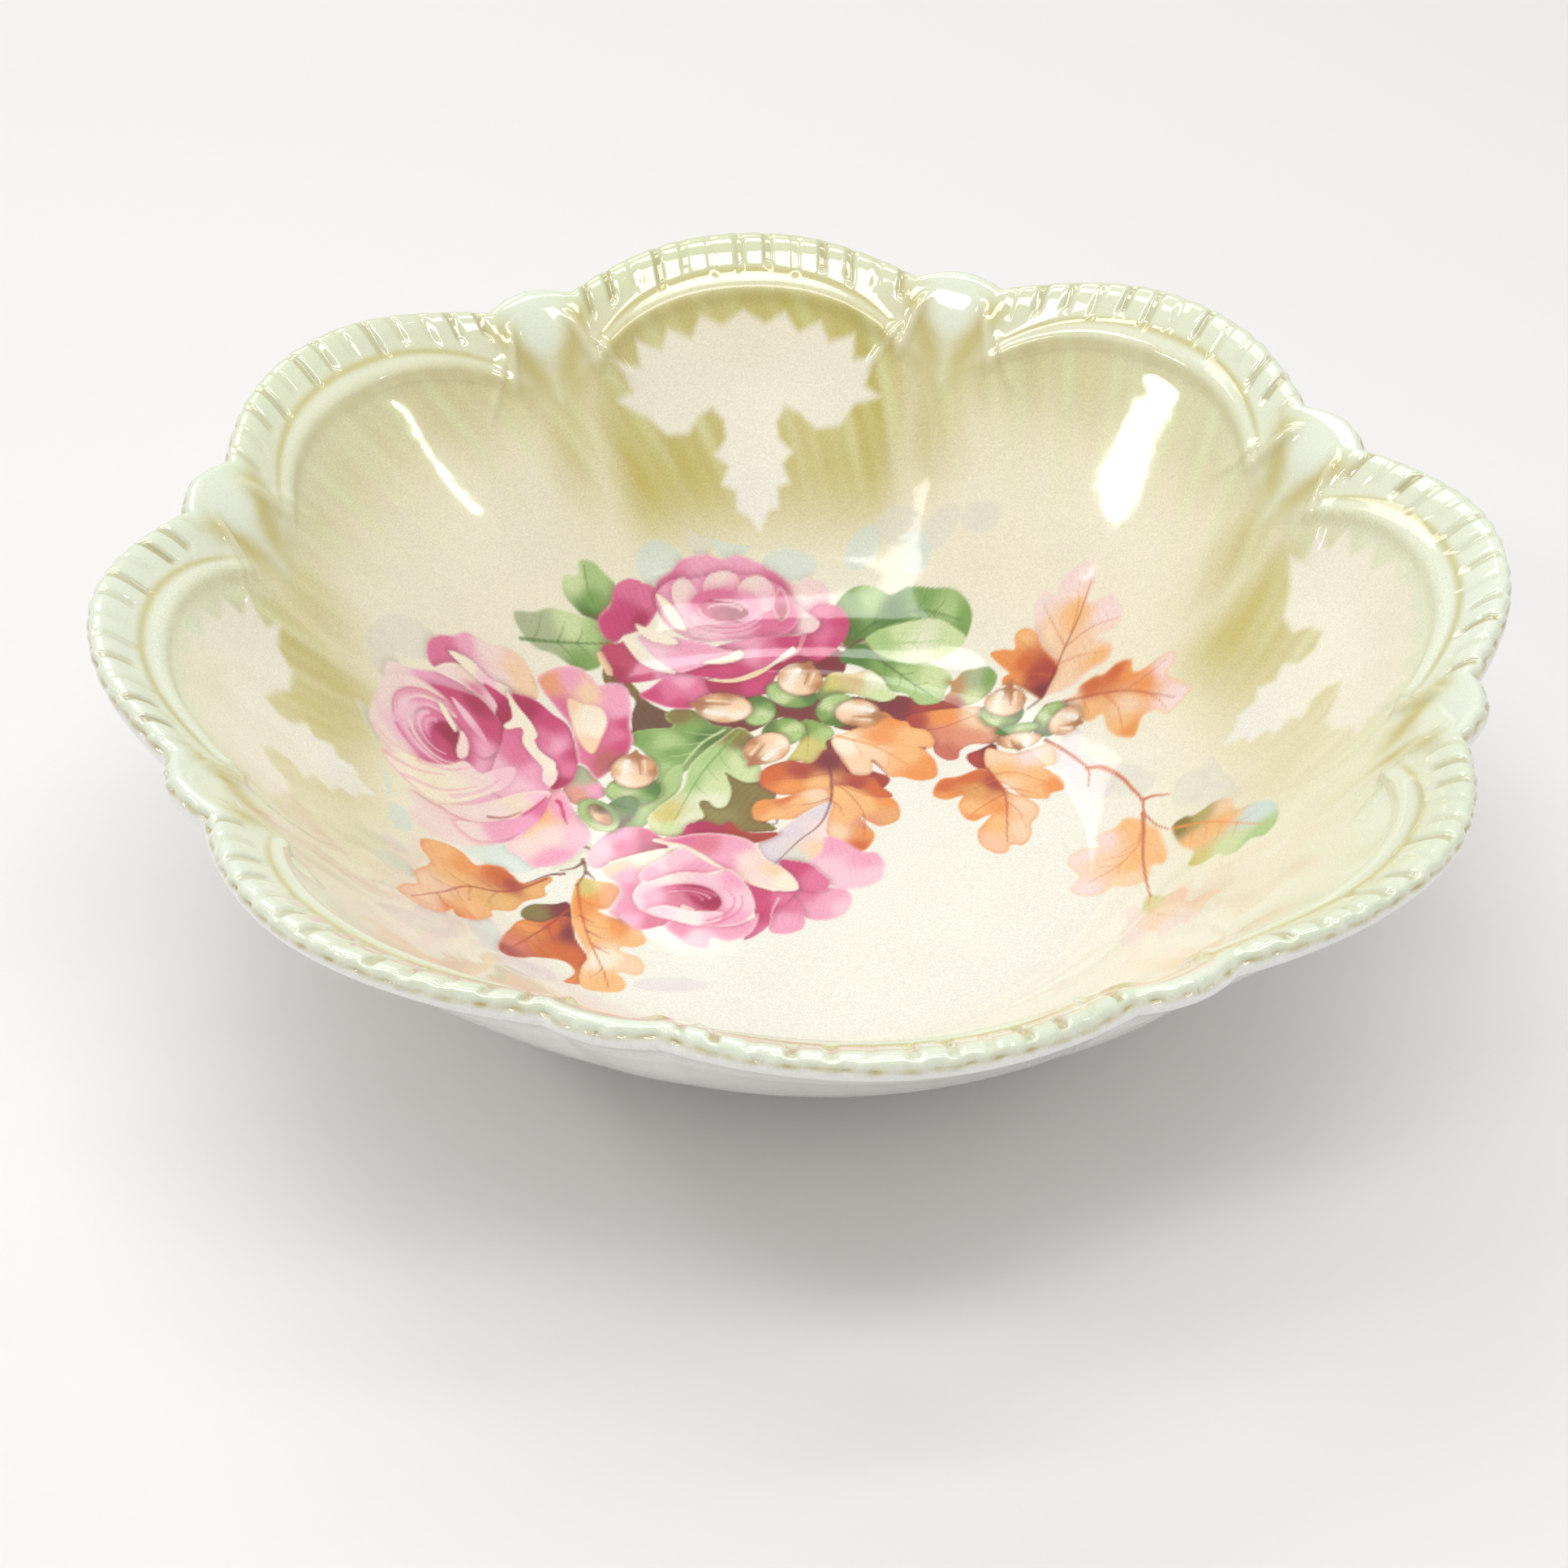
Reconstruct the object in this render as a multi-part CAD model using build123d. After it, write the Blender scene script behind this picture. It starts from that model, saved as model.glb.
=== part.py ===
"""Lobed porcelain serving bowl: paste body, foot ring, glaze coats, rim lustre and printed film.

The bowl stands on the table at Z = 0, its axis is Z, and the middle of one lobe lies on +Y.
Every wall face is a smooth skin over closed curves that run round the bowl. A coat is built on
the very face that it lies on, so coats and body meet without a gap or an overlap.
"""
from build123d import *
from math import cos, hypot, pi, radians, sin
import os

# ---- driving dimensions, mm -------------------------------------------------
GLAZE = 0.25                 # thickness of each glaze coat
FILM = 0.06                  # thickness of the lustre and of the printed film

LOBES = 8
LOBE_REACH = 0.077           # how far a lobe stands out, as a share of the radius
LOBE_RISE = 4.0              # how far a lobe stands up
LOBE_HALF_ANGLE = 18.0       # degrees from the middle of a lobe to its notch
SHOULDER_REACH = 0.020       # the small shoulder between two lobes, as a share of the radius
SHOULDER_RISE = 0.8
LOBES_START_HEIGHT = 9.0     # below this height the bowl is round
LOBE_SPANS = 8               # evenly spaced points along each lobe and each shoulder
SHOULDER_SPANS = 4

# Wall lines at the notch between two lobes: (radius, height above the table).
OUTER_LINE = [(58.0, 4.0), (70.0, 10.2), (82.0, 20.2), (92.0, 29.9), (98.3, 36.3), (106.0, 45.5),
              (113.0, 55.0), (119.0, 63.6)]
INNER_LINE = [(50.0, 8.6), (58.0, 9.5), (67.5, 14.0), (79.0, 23.5), (88.9, 33.0), (95.1, 39.3),
              (102.5, 48.3), (109.3, 57.6), (115.4, 65.9)]
OUTER_LINE_START = 20        # slope of the outer line where it leaves the underside, degrees
INNER_LINE_START = 0         # slope of the inner line where it leaves the flat well, degrees
BORDER_START = 0.72          # share of the inner line below the moulded border

LIP_CENTRE = (121.3, 68.6)   # centre of the rounded lip at the top of the wall
LIP_RADIUS = 2.1
LIP_CREST_ANGLE = 45         # degrees round the lip, from level outwards; also the wall's slope there
LIP_HALF_ANGLE = 90

WALL_SPANS = 10              # evenly spaced curves under a wall face
BORDER_SPANS = 5
LIP_SPANS = 4

FOOT_RADIUS = 57.0           # outside of the foot ring, at the body
FOOT_WIDTH = 5.0             # radial width of the foot ring at the body
FOOT_TOE_RADIUS = 55.4       # outside of the foot ring, at the table
FOOT_TOE_WIDTH = 2.4         # radial width of the ring at the table
FOOT_TOE_FILLET = 0.5

# Rounded outline of the printed film, seen from above: (x, y).
FILM_OUTLINE = [(-86, 22), (-72, 52), (-40, 74), (0, 82), (36, 72), (62, 62), (80, 40), (84, 6),
                (90, -22), (78, -46), (54, -34), (34, -4), (10, -28), (-24, -34), (-46, -46),
                (-76, -40), (-88, -8)]

FOOT_HEIGHT = OUTER_LINE[0][1]
LIP_TOP = LIP_CENTRE[1] + LIP_RADIUS
OUTSIDE = -1                 # the side of a wall line that a coat is built on
INSIDE = 1


def lobe_shape(degrees):
    """How much of the lobe and of the shoulder, each from 0 to 1, stands at an angle."""
    pitch = 360 / LOBES
    offset = abs((degrees + pitch / 2) % pitch - pitch / 2)
    if offset < LOBE_HALF_ANGLE:
        return cos(pi / 2 * offset / LOBE_HALF_ANGLE), 0.0
    shoulder_half_angle = pitch / 2 - LOBE_HALF_ANGLE
    return 0.0, cos(pi / 2 * (pitch / 2 - offset) / shoulder_half_angle)


def ring_point(radius, height, degrees):
    """Point at an angle on the closed curve through one point of a wall line."""
    climb = max(0.0, (height - LOBES_START_HEIGHT) / (LIP_TOP - LOBES_START_HEIGHT))
    share = climb ** 2
    lobe, shoulder = lobe_shape(degrees)
    r = radius * (1 + share * (LOBE_REACH * lobe + SHOULDER_REACH * shoulder))
    z = height + share * (LOBE_RISE * lobe + SHOULDER_RISE * shoulder)
    return Vector(r * cos(radians(degrees)), r * sin(radians(degrees)), z)


def ring_edge(radius, height, start, end, spans):
    """Smooth stretch of a closed curve between two angles."""
    angles = [start + (end - start) * i / spans for i in range(spans + 1)]
    return Edge.make_spline([ring_point(radius, height, angle) for angle in angles])


def section(radius, height):
    """Closed curve round the bowl: a lobe, a shoulder, a lobe and so on, meeting in sharp notches."""
    pitch = 360 / LOBES
    edges = []
    for i in range(LOBES):
        first = i * pitch - LOBE_HALF_ANGLE
        last = i * pitch + LOBE_HALF_ANGLE
        edges.append(ring_edge(radius, height, first, last, LOBE_SPANS))
        edges.append(ring_edge(radius, height, last, first + pitch, SHOULDER_SPANS))
    return Wire(edges)


def lip_stations(side):
    """Points and outward normals (r, z, nr, nz) from one side of the lip up to its crest."""
    stations = []
    for i in range(LIP_SPANS + 1):
        angle = radians(LIP_CREST_ANGLE + side * LIP_HALF_ANGLE * (1 - i / LIP_SPANS))
        nr, nz = cos(angle), sin(angle)
        stations.append((LIP_CENTRE[0] + LIP_RADIUS * nr, LIP_CENTRE[1] + LIP_RADIUS * nz, nr, nz))
    return stations


def wall_curve(line, start_slope, side):
    """Smooth upright curve through a wall line, which runs on into the lip."""
    lip_r, lip_z = lip_stations(side)[0][:2]
    points = [Vector(r, 0, z) for r, z in line + [(lip_r, lip_z)]]
    slopes = (radians(start_slope), radians(LIP_CREST_ANGLE))
    return Edge.make_spline(points, tangents=[Vector(cos(slope), 0, sin(slope)) for slope in slopes])


def wall_stations(curve, side, start, end, spans):
    """Evenly spaced points and normals (r, z, nr, nz) on a stretch of a wall curve."""
    stations = []
    for i in range(spans + 1):
        share = start + (end - start) * i / spans
        point = curve.position_at(share)
        tangent = curve.tangent_at(share)
        stations.append((point.X, point.Z, -side * tangent.Z, side * tangent.X))
    return stations


def skin(stations, proud):
    """Closed curves through the stations, standing proud of them by a coat's thickness."""
    return [section(r + proud * nr, z + proud * nz) for r, z, nr, nz in stations]


def outer_skins(proud=0.0):
    """Outside of the wall, and the outer half of the lip, each as closed curves from below."""
    curve = wall_curve(OUTER_LINE, OUTER_LINE_START, OUTSIDE)
    wall = wall_stations(curve, OUTSIDE, 0, 1, WALL_SPANS)
    wall[0] = wall[0][:2] + (0.0, -1.0)
    return [skin(wall, proud), skin(lip_stations(OUTSIDE), proud)]


def inner_skins(proud=0.0):
    """Inside of the wall below the moulded border, the border, and the inner half of the lip."""
    curve = wall_curve(INNER_LINE, INNER_LINE_START, INSIDE)
    wall = wall_stations(curve, INSIDE, 0, BORDER_START, WALL_SPANS)
    border = wall_stations(curve, INSIDE, BORDER_START, 1, BORDER_SPANS)
    return [skin(wall, proud), skin(border, proud), skin(lip_stations(INSIDE), proud)]


def smooth(curves):
    """Smooth faces over closed curves."""
    return Shell.make_loft(curves).faces()


def band(curve, other_curve):
    """Narrow faces between two closed curves."""
    return Shell.make_loft([curve, other_curve], ruled=True).faces()


def solid_of(skins, bands=(), discs=()):
    """Solid bounded by skins, by narrow bands and by flat discs, which are given by their curves."""
    faces = [face for curves in skins for face in smooth(curves)]
    faces += [face for pair in bands for face in band(*pair)]
    faces += [Face(curve) for curve in discs]
    return Solid(Shell(faces))


def porcelain_body(outer, inner):
    return solid_of(outer + inner, discs=[outer[0][0], inner[0][0]])


def inner_glaze(inner, glazed):
    crest = (inner[-1][-1], glazed[-1][-1])
    return solid_of(inner + glazed, bands=[crest], discs=[inner[0][0], glazed[0][0]])


def outer_glaze(outer, glazed):
    """Coat on the wall, and a disc of the same glaze on the underside, inside the foot ring."""
    foot = (outer[0][0], glazed[0][0])
    crest = (outer[-1][-1], glazed[-1][-1])
    wall = solid_of(outer + glazed, bands=[foot, crest])
    underside = Cylinder(FOOT_RADIUS - FOOT_WIDTH, GLAZE, align=(Align.CENTER, Align.CENTER, Align.MAX))
    return Compound(children=[wall, Pos(0, 0, FOOT_HEIGHT) * underside])


def rim_lustre(glazed, filmed):
    """Pearl lustre on the moulded border, up to the crest of the lip."""
    border = (glazed[1][0], filmed[1][0])
    crest = (glazed[-1][-1], filmed[-1][-1])
    return solid_of(glazed[1:] + filmed[1:], bands=[border, crest])


def rose_transfer(glazed, filmed):
    """Printed film on the glaze of the well and the wall, cut to its outline."""
    border = (glazed[0][-1], filmed[0][-1])
    whole = solid_of([glazed[0], filmed[0]], bands=[border], discs=[glazed[0][0], filmed[0][0]])
    return whole & extrude(make_face(Spline(*FILM_OUTLINE, periodic=True)), LIP_TOP)


def foot_ring():
    """Low tapered ring that stands on the table and meets the flat underside of the body."""
    half_section = Polyline(
        (FOOT_RADIUS - FOOT_WIDTH, FOOT_HEIGHT),
        (FOOT_RADIUS, FOOT_HEIGHT),
        (FOOT_TOE_RADIUS, 0),
        (FOOT_TOE_RADIUS - FOOT_TOE_WIDTH, 0),
        close=True,
    )
    ring = revolve(Plane.XZ * make_face(half_section), axis=Axis.Z)
    toe_edges = ring.edges().group_by(Axis.Z)[0]
    return fillet(toe_edges, FOOT_TOE_FILLET)


def make_nodes():
    """Each named piece of the bowl."""
    outer = outer_skins()
    inner = inner_skins()
    glazed = inner_skins(GLAZE)
    filmed = inner_skins(GLAZE + FILM)
    return {
        "porcelain_body": porcelain_body(outer, inner),
        "foot_ring": foot_ring(),
        "inner_glaze": inner_glaze(inner, glazed),
        "outer_glaze": outer_glaze(outer, outer_skins(GLAZE)),
        "rim_lustre": rim_lustre(glazed, filmed),
        "rose_transfer": rose_transfer(glazed, filmed),
    }


os.makedirs("parts", exist_ok=True)
for node, shape in make_nodes().items():
    export_step(shape, f"parts/{node}.step")
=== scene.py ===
"""Looks of a lobed porcelain serving bowl: moulded border, sprayed ground, printed roses and oak leaves.

The bowl is one fired mesh. The print lies on it as thin films, whose colours are painted point by
point from the outlines of petals, leaves and acorns below. Those outlines are in millimetres, seen
from above, with +Y through the middle of a lobe.
"""
from math import cos, pi, radians, sin

import bpy
import numpy as np
from mathutils import Matrix, Vector


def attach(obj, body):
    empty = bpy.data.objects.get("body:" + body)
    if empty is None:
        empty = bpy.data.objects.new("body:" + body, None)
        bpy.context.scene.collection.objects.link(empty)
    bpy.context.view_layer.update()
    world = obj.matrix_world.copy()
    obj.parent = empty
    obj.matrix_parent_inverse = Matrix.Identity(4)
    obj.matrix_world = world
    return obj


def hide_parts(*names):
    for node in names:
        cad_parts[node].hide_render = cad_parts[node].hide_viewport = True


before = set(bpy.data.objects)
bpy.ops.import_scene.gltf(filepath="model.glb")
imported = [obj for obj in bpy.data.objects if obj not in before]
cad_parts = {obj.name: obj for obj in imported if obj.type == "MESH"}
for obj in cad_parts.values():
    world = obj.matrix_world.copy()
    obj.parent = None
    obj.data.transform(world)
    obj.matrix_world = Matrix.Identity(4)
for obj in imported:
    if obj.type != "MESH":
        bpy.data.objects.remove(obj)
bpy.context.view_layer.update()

MM = 0.001

# ---- size of the bowl, mm ---------------------------------------------------
GLAZE = 0.25
LOBES = 8
PITCH = 360 / LOBES
LOBE_REACH = 0.077
LOBE_RISE = 4.0
LOBE_HALF_ANGLE = 18.0
SHOULDER_REACH = 0.020
SHOULDER_RISE = 0.8
LOBES_START_HEIGHT = 9.0
LIP_CENTRE = (121.3, 68.6)
LIP_RADIUS = 2.1
LIP_CREST_ANGLE = 45
LIP_TOP = LIP_CENTRE[1] + LIP_RADIUS
INNER_LINE = [(0.0, 8.6), (25.0, 8.6), (50.0, 8.6), (58.0, 9.5), (67.5, 14.0), (79.0, 23.5), (88.9, 33.0),
              (95.1, 39.3), (102.5, 48.3), (109.3, 57.6), (115.4, 65.9)]
OUTER_LINE = [(58.0, 4.0), (70.0, 10.2), (82.0, 20.2), (92.0, 29.9), (98.3, 36.3), (106.0, 45.5),
              (113.0, 55.0), (119.0, 63.6)]


# ---- shape of the bowl ------------------------------------------------------
def lobe_offset(degrees):
    """Signed angle from the middle of the nearest lobe."""
    return (degrees + PITCH / 2) % PITCH - PITCH / 2


def lobe_shape(degrees):
    """How much of the lobe and of the shoulder, each from 0 to 1, stands at an angle."""
    offset = np.abs(lobe_offset(degrees))
    on_lobe = offset < LOBE_HALF_ANGLE
    lobe = np.where(on_lobe, np.cos(pi / 2 * np.minimum(offset / LOBE_HALF_ANGLE, 1)), 0.0)
    from_valley = (PITCH / 2 - offset) / (PITCH / 2 - LOBE_HALF_ANGLE)
    shoulder = np.where(on_lobe, 0.0, np.cos(pi / 2 * np.minimum(from_valley, 1)))
    return lobe, shoulder


def lobe_share(height):
    """How far the lobes are developed at a height."""
    return np.maximum(0, (height - LOBES_START_HEIGHT) / (LIP_TOP - LOBES_START_HEIGHT)) ** 2


def smooth_line(points, per_span=120):
    """Smooth curve through points: a cubic on each span, with slopes from the neighbours."""
    p = np.array(points, float)
    chord = np.maximum(np.hypot(*np.diff(p, axis=0).T), 1e-9)
    at = np.concatenate([[0], np.cumsum(chord)])
    slope = np.gradient(p, at, axis=0)
    out = []
    for i in range(len(p) - 1):
        t = np.linspace(0, 1, per_span, endpoint=False)[:, None]
        h = chord[i]
        out.append((2 * t**3 - 3 * t**2 + 1) * p[i] + (t**3 - 2 * t**2 + t) * h * slope[i]
                   + (3 * t**2 - 2 * t**3) * p[i + 1] + (t**3 - t**2) * h * slope[i + 1])
    return np.vstack(out + [p[-1:]])


def lip_arc(start, end, count):
    """Points of the round lip between two angles in degrees."""
    angles = np.radians(np.linspace(start, end, count))
    centre = np.array(LIP_CENTRE)
    return centre + LIP_RADIUS * np.stack([np.cos(angles), np.sin(angles)], -1)


def with_normals(line, side):
    """Points of a line and its unit normals, to the left of it for side 1."""
    tangent = np.gradient(line, axis=0)
    tangent /= np.linalg.norm(tangent, axis=1)[:, None]
    return line, side * np.stack([-tangent[:, 1], tangent[:, 0]], -1)


def wall_profile():
    """Notch line of the glazed surface from the middle of the well over the lip to the foot.

    Returns r, z, the normals nr, nz, and d, the distance inwards from the crest of the lip, which
    is negative on the outside.
    """
    inner = smooth_line(INNER_LINE + [tuple(lip_arc(135, 135, 1)[0])])
    lip = lip_arc(135, -45, 25)
    outer = smooth_line(OUTER_LINE + [tuple(lip_arc(-45, -45, 1)[0])])[::-1]
    line, normal = with_normals(np.vstack([inner[:-1], lip, outer[1:]]), 1)
    line = line + GLAZE * normal
    length = np.concatenate([[0], np.cumsum(np.hypot(*np.diff(line, axis=0).T))])
    crest = np.interp(LIP_CREST_ANGLE, [-45, 135], [length[len(inner) + 23], length[len(inner) - 1]])
    return line[:, 0], line[:, 1], normal[:, 0], normal[:, 1], crest - length


PROFILE = wall_profile()


def at_distance(d):
    """r, z, nr, nz of the notch line at a distance inwards from the crest."""
    order = np.argsort(PROFILE[4])
    return [np.interp(d, PROFILE[4][order], column[order]) for column in PROFILE[:4]]


# ---- moulded border ---------------------------------------------------------
FLUTES = 13                  # grooves across each lobe
FLUTE_PITCH = 2 * LOBE_HALF_ANGLE / FLUTES
FLUTE_DEPTH = 0.8
LIP_NOTCH = 0.35
BEAD_DEPTH = 0.6
CREST_DROP = 0.8             # the moulded lip stays under the plain one, so it keeps inside the CAD
RIDGE_D = 13.0               # the arched ridge lies this far in from the crest at the middle of a lobe
RIDGE_FALL = 6.5             # and this much further in at the ends of its arch
RIDGE_HEIGHT = 1.25
TONGUE_HEIGHT = 0.45
SIDE_LEAF_HEIGHT = 0.9
SWELL_HEIGHT = 0.45          # soft rise of the border between the lip and the ridge
WAVER_HEIGHT = 0.12          # hand-finished unevenness


def bump(x, width):
    """Smooth hump, 1 in the middle and 0 well beyond its width."""
    return np.exp(-(x / width) ** 2)


def step(x, edge, width):
    """Smooth step from 0 to 1 about an edge."""
    t = np.clip((x - edge) / width + 0.5, 0, 1)
    return t * t * (3 - 2 * t)


def on_lobe(offset, width=2.4):
    """1 on the lobe, 0 on the shoulder between two lobes."""
    return step(LOBE_HALF_ANGLE - np.abs(offset), 0.9, width)


def ridge_line(offset):
    """Distance in from the crest of the arched ridge, at an angle from the middle of the lobe."""
    return RIDGE_D + RIDGE_FALL * (np.abs(offset) / LOBE_HALF_ANGLE) ** 3.5


def flute_wave(offset):
    """1 in the middle of a groove, 0 on the broad rib between two grooves."""
    phase = offset / FLUTE_PITCH
    near = np.cos(pi * (phase - np.round(phase)))
    return np.clip(1.9 * near ** 7 - 0.25, 0, 1)


def flute_strength(degrees):
    """Grooves are pressed unevenly: some are deep, some hardly show."""
    number = np.round(lobe_offset(degrees) / FLUTE_PITCH) + 20 * np.floor((degrees + PITCH / 2) / PITCH)
    return 0.62 + 0.38 * np.sin(2.1 * number + 0.7 * np.sin(1.3 * number))


def flutes(degrees, d):
    """Short grooves across the border, square to the edge."""
    offset = lobe_offset(degrees)
    along = step(d, 1.8, 1.8) * step(-d, -9.0 - 0.9 * np.sin(offset * 0.9), 2.4)
    return flute_wave(offset) * flute_strength(degrees) * on_lobe(offset, 1.6) * along


def beads(degrees):
    """Uneven little dents along the lip, 0 to 1."""
    return 0.5 + 0.5 * np.sin(np.radians(degrees * 171 + 90 * np.sin(np.radians(degrees * 7))))


def valley_side(offset):
    """Distance in mm from the middle of the shoulder between two lobes."""
    return (PITCH / 2 - np.abs(offset)) * radians(1) * 118


def tongue(offset, d):
    """Broad pale leaf that runs inwards from the lip between two lobes."""
    width = np.interp(d, [1, 7, 13, 19], [8.0, 7.0, 4.6, 1.4])
    return bump(valley_side(offset), width) * step(d, 1.5, 3) * step(-d, -16, 7)


def side_leaves(offset, d):
    """Two shorter leaf tips on each side of the tongue."""
    side = valley_side(offset)
    near = bump(side - 9.0 - 0.35 * (d - 14), 1.5) * step(d, 8, 4) * step(-d, -20, 5)
    far = bump(side - 13.6 - 0.6 * (d - 18), 1.4) * step(d, 13, 4) * step(-d, -25, 6)
    return np.maximum(near, 0.7 * far)


def relief(degrees, d):
    """Height of the moulding above the plain wall, mm."""
    offset = lobe_offset(degrees)
    ridge = bump(d - ridge_line(offset), np.where(d < ridge_line(offset), 2.7, 1.9)) * on_lobe(offset, 3)
    swell = SWELL_HEIGHT * bump(d - 4.5, 4.0) * on_lobe(offset, 3)
    height = RIDGE_HEIGHT * ridge + swell - FLUTE_DEPTH * flutes(degrees, d)
    height += TONGUE_HEIGHT * tongue(offset, d) + SIDE_LEAF_HEIGHT * side_leaves(offset, d)
    height -= LIP_NOTCH * flute_wave(offset + 1.1 * np.sin(np.radians(degrees * 5))) * bump(d + 0.4, 1.7)
    height -= BEAD_DEPTH * beads(degrees) * bump(d, 1.3)
    height += WAVER_HEIGHT * np.sin(np.radians(degrees * 23)) * bump(d - 3, 6)
    height -= CREST_DROP * bump(d, 3.4)
    return height * step(-d, -36, 8)


def wall_point(degrees, d):
    """Points of the finished surface, mm, at angles round the bowl and distances from the crest."""
    r, z, nr, nz = at_distance(d)
    share = lobe_share(z)
    lobe, shoulder = lobe_shape(degrees)
    lift = relief(degrees, d)
    radius = r * (1 + share * (LOBE_REACH * lobe + SHOULDER_REACH * shoulder)) + nr * lift
    height = z + share * (LOBE_RISE * lobe + SHOULDER_RISE * shoulder) + nz * lift
    angle = np.radians(degrees)
    return np.stack([radius * np.cos(angle), radius * np.sin(angle), height], -1)


def wall_normal(degrees, d):
    """Unit normals of the finished surface, from small steps along and across it."""
    turn, run = 0.05, 0.08
    along = wall_point(degrees + turn, d) - wall_point(degrees - turn, d)
    across = wall_point(degrees, d + run) - wall_point(degrees, d - run)
    normal = np.cross(along, across)
    size = np.linalg.norm(normal, axis=-1)[:, None]
    return np.where(size > 1e-9, normal / np.maximum(size, 1e-9), [0.0, 0.0, 1.0])


# ---- meshes -----------------------------------------------------------------
def ring_faces(start_a, count_a, start_b, count_b):
    """Faces between two rings; the first ring has as many points as the second, or twice as many."""
    i = np.arange(count_b)
    j = (i + 1) % count_b
    if count_a == count_b:
        return [np.stack([start_a + i, start_a + j, start_b + j, start_b + i], -1)]
    a0, a1, a2 = start_a + 2 * i, start_a + 2 * i + 1, start_a + (2 * i + 2) % count_a
    return [np.stack([start_b + i, a0, a1], -1), np.stack([start_b + i, a1, start_b + j], -1),
            np.stack([start_b + j, a1, a2], -1)]


def make_object(name, points, faces, normals, colours):
    """Object in metres from points in millimetres, with exact normals and painted colours."""
    mesh = bpy.data.meshes.new(name)
    mesh.from_pydata((points * MM).tolist(), [], faces)
    mesh.polygons.foreach_set("use_smooth", [True] * len(mesh.polygons))
    layer = mesh.color_attributes.new("paint", "FLOAT_COLOR", "POINT")
    layer.data.foreach_set("color", np.concatenate([colours, np.ones((len(colours), 1))], -1).ravel())
    mesh.update()
    mesh.normals_split_custom_set_from_vertices(normals.tolist())
    obj = bpy.data.objects.new(name, mesh)
    bpy.context.scene.collection.objects.link(obj)
    return obj


FEATHER = 0.3                # the edge of a film slopes down over this width


def thin_shell(name, points, normals, faces, colours, thickness, lift):
    """Closed film: the given faces on top, the same turned over below, and a slope down to the glaze."""
    count = len(points)
    edges = np.stack([faces, np.roll(faces, -1, axis=1)], -1).reshape(-1, 2)
    key = edges[:, 0] * count + edges[:, 1]
    rim = edges[~np.isin(key, edges[:, 1] * count + edges[:, 0])]
    centres = np.zeros((count, 3))
    np.add.at(centres, faces.ravel(), np.repeat(points[faces].mean(1), 4, axis=0))
    shares = np.bincount(faces.ravel(), minlength=count)[:, None]
    outward = points - centres / shares
    on_rim = np.isin(np.arange(count), rim)[:, None]
    outward = np.where(on_rim, outward / np.maximum(np.linalg.norm(outward, axis=-1)[:, None], 1e-9), 0)
    under = points - np.where(on_rim, thickness + lift + 0.01, thickness) * normals + FEATHER * outward
    walls = np.stack([rim[:, 1], rim[:, 0], rim[:, 0] + count, rim[:, 1] + count], -1)
    every = np.vstack([faces, faces[:, ::-1] + count, walls])
    piece = make_object(name, np.vstack([points, under]), every.tolist(), np.vstack([normals, -normals]),
                        np.vstack([colours, colours]))
    corners = np.vstack([normals[faces.ravel()], -normals[faces[:, ::-1].ravel()],
                         normals[walls.ravel() % count]])
    piece.data.normals_split_custom_set(corners.tolist())
    return piece


WELL_RADIUS = 50             # the flat well inside this radius has rings every few millimetres
WELL_RING_STEP = 2.5
WALL_RINGS = 70
BORDER_RINGS = 42
OUTSIDE_RINGS = 30
BORDER_SEGMENTS = 1200       # a whole number on each lobe pitch
BORDER_DEPTH = 27.0
BORDER_OUTSIDE = -3.6
COAT_LIFT = 0.05
COAT_BEYOND_RIDGE = 2.2
COAT_THICKNESS = 0.05


def border_rings():
    """Distances from the crest, inwards, of the rings of points on the moulded border."""
    return np.concatenate([np.linspace(BORDER_DEPTH, 0, BORDER_RINGS),
                           [-0.6, -1.2, -1.8, -2.4, -3.0, BORDER_OUTSIDE]])


def bowl_rings():
    """(distance from the crest, number of points) of each ring, from the well to the foot."""
    inner_end, outer_end = PROFILE[4].max(), PROFILE[4].min()
    well = np.arange(WELL_RING_STEP, WELL_RADIUS, WELL_RING_STEP)
    wall = np.linspace(inner_end - WELL_RADIUS, BORDER_DEPTH, WALL_RINGS)[:-1]
    outside = np.linspace(BORDER_OUTSIDE, outer_end, OUTSIDE_RINGS)[1:]
    rings = [(inner_end - r, BORDER_SEGMENTS // (8 if r < 10 else 4)) for r in well]
    rings += [(d, BORDER_SEGMENTS // 2) for d in wall]
    rings += [(d, BORDER_SEGMENTS) for d in border_rings()]
    rings += [(d, BORDER_SEGMENTS // 2) for d in outside]
    return rings


def bowl_mesh():
    """Whole glazed bowl as one closed surface, without its foot ring."""
    points, normals, colours, faces = [], [], [], []
    start, last = 0, None
    for d, count in bowl_rings():
        degrees, depths = np.arange(count) * 360 / count, np.full(count, d)
        points.append(wall_point(degrees, depths))
        normals.append(wall_normal(degrees, depths))
        colours.append(ground_colour(degrees, depths))
        if last and last[1] >= count:
            parts = ring_faces(*last, start, count)
            faces += [face[::-1] for part in parts for face in part.tolist()]
        elif last:
            parts = ring_faces(start, count, *last)
            faces += [face for part in parts for face in part.tolist()]
        last = (start, count)
        start += count
    first, under = bowl_rings()[0][1], last
    faces += [(i, (i + 1) % first, start) for i in range(first)]
    faces += [(under[0] + (i + 1) % under[1], under[0] + i, start + 1) for i in range(under[1])]
    points.append(np.array([[0, 0, INNER_LINE[0][1] + GLAZE], [0, 0, OUTER_LINE[0][1] - GLAZE]]))
    normals.append(np.array([[0, 0, 1.0], [0, 0, -1.0]]))
    colours.append(np.array([WELL, PORCELAIN]))
    return make_object("porcelain_bowl", np.vstack(points), faces, np.vstack(normals), np.vstack(colours))


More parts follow.
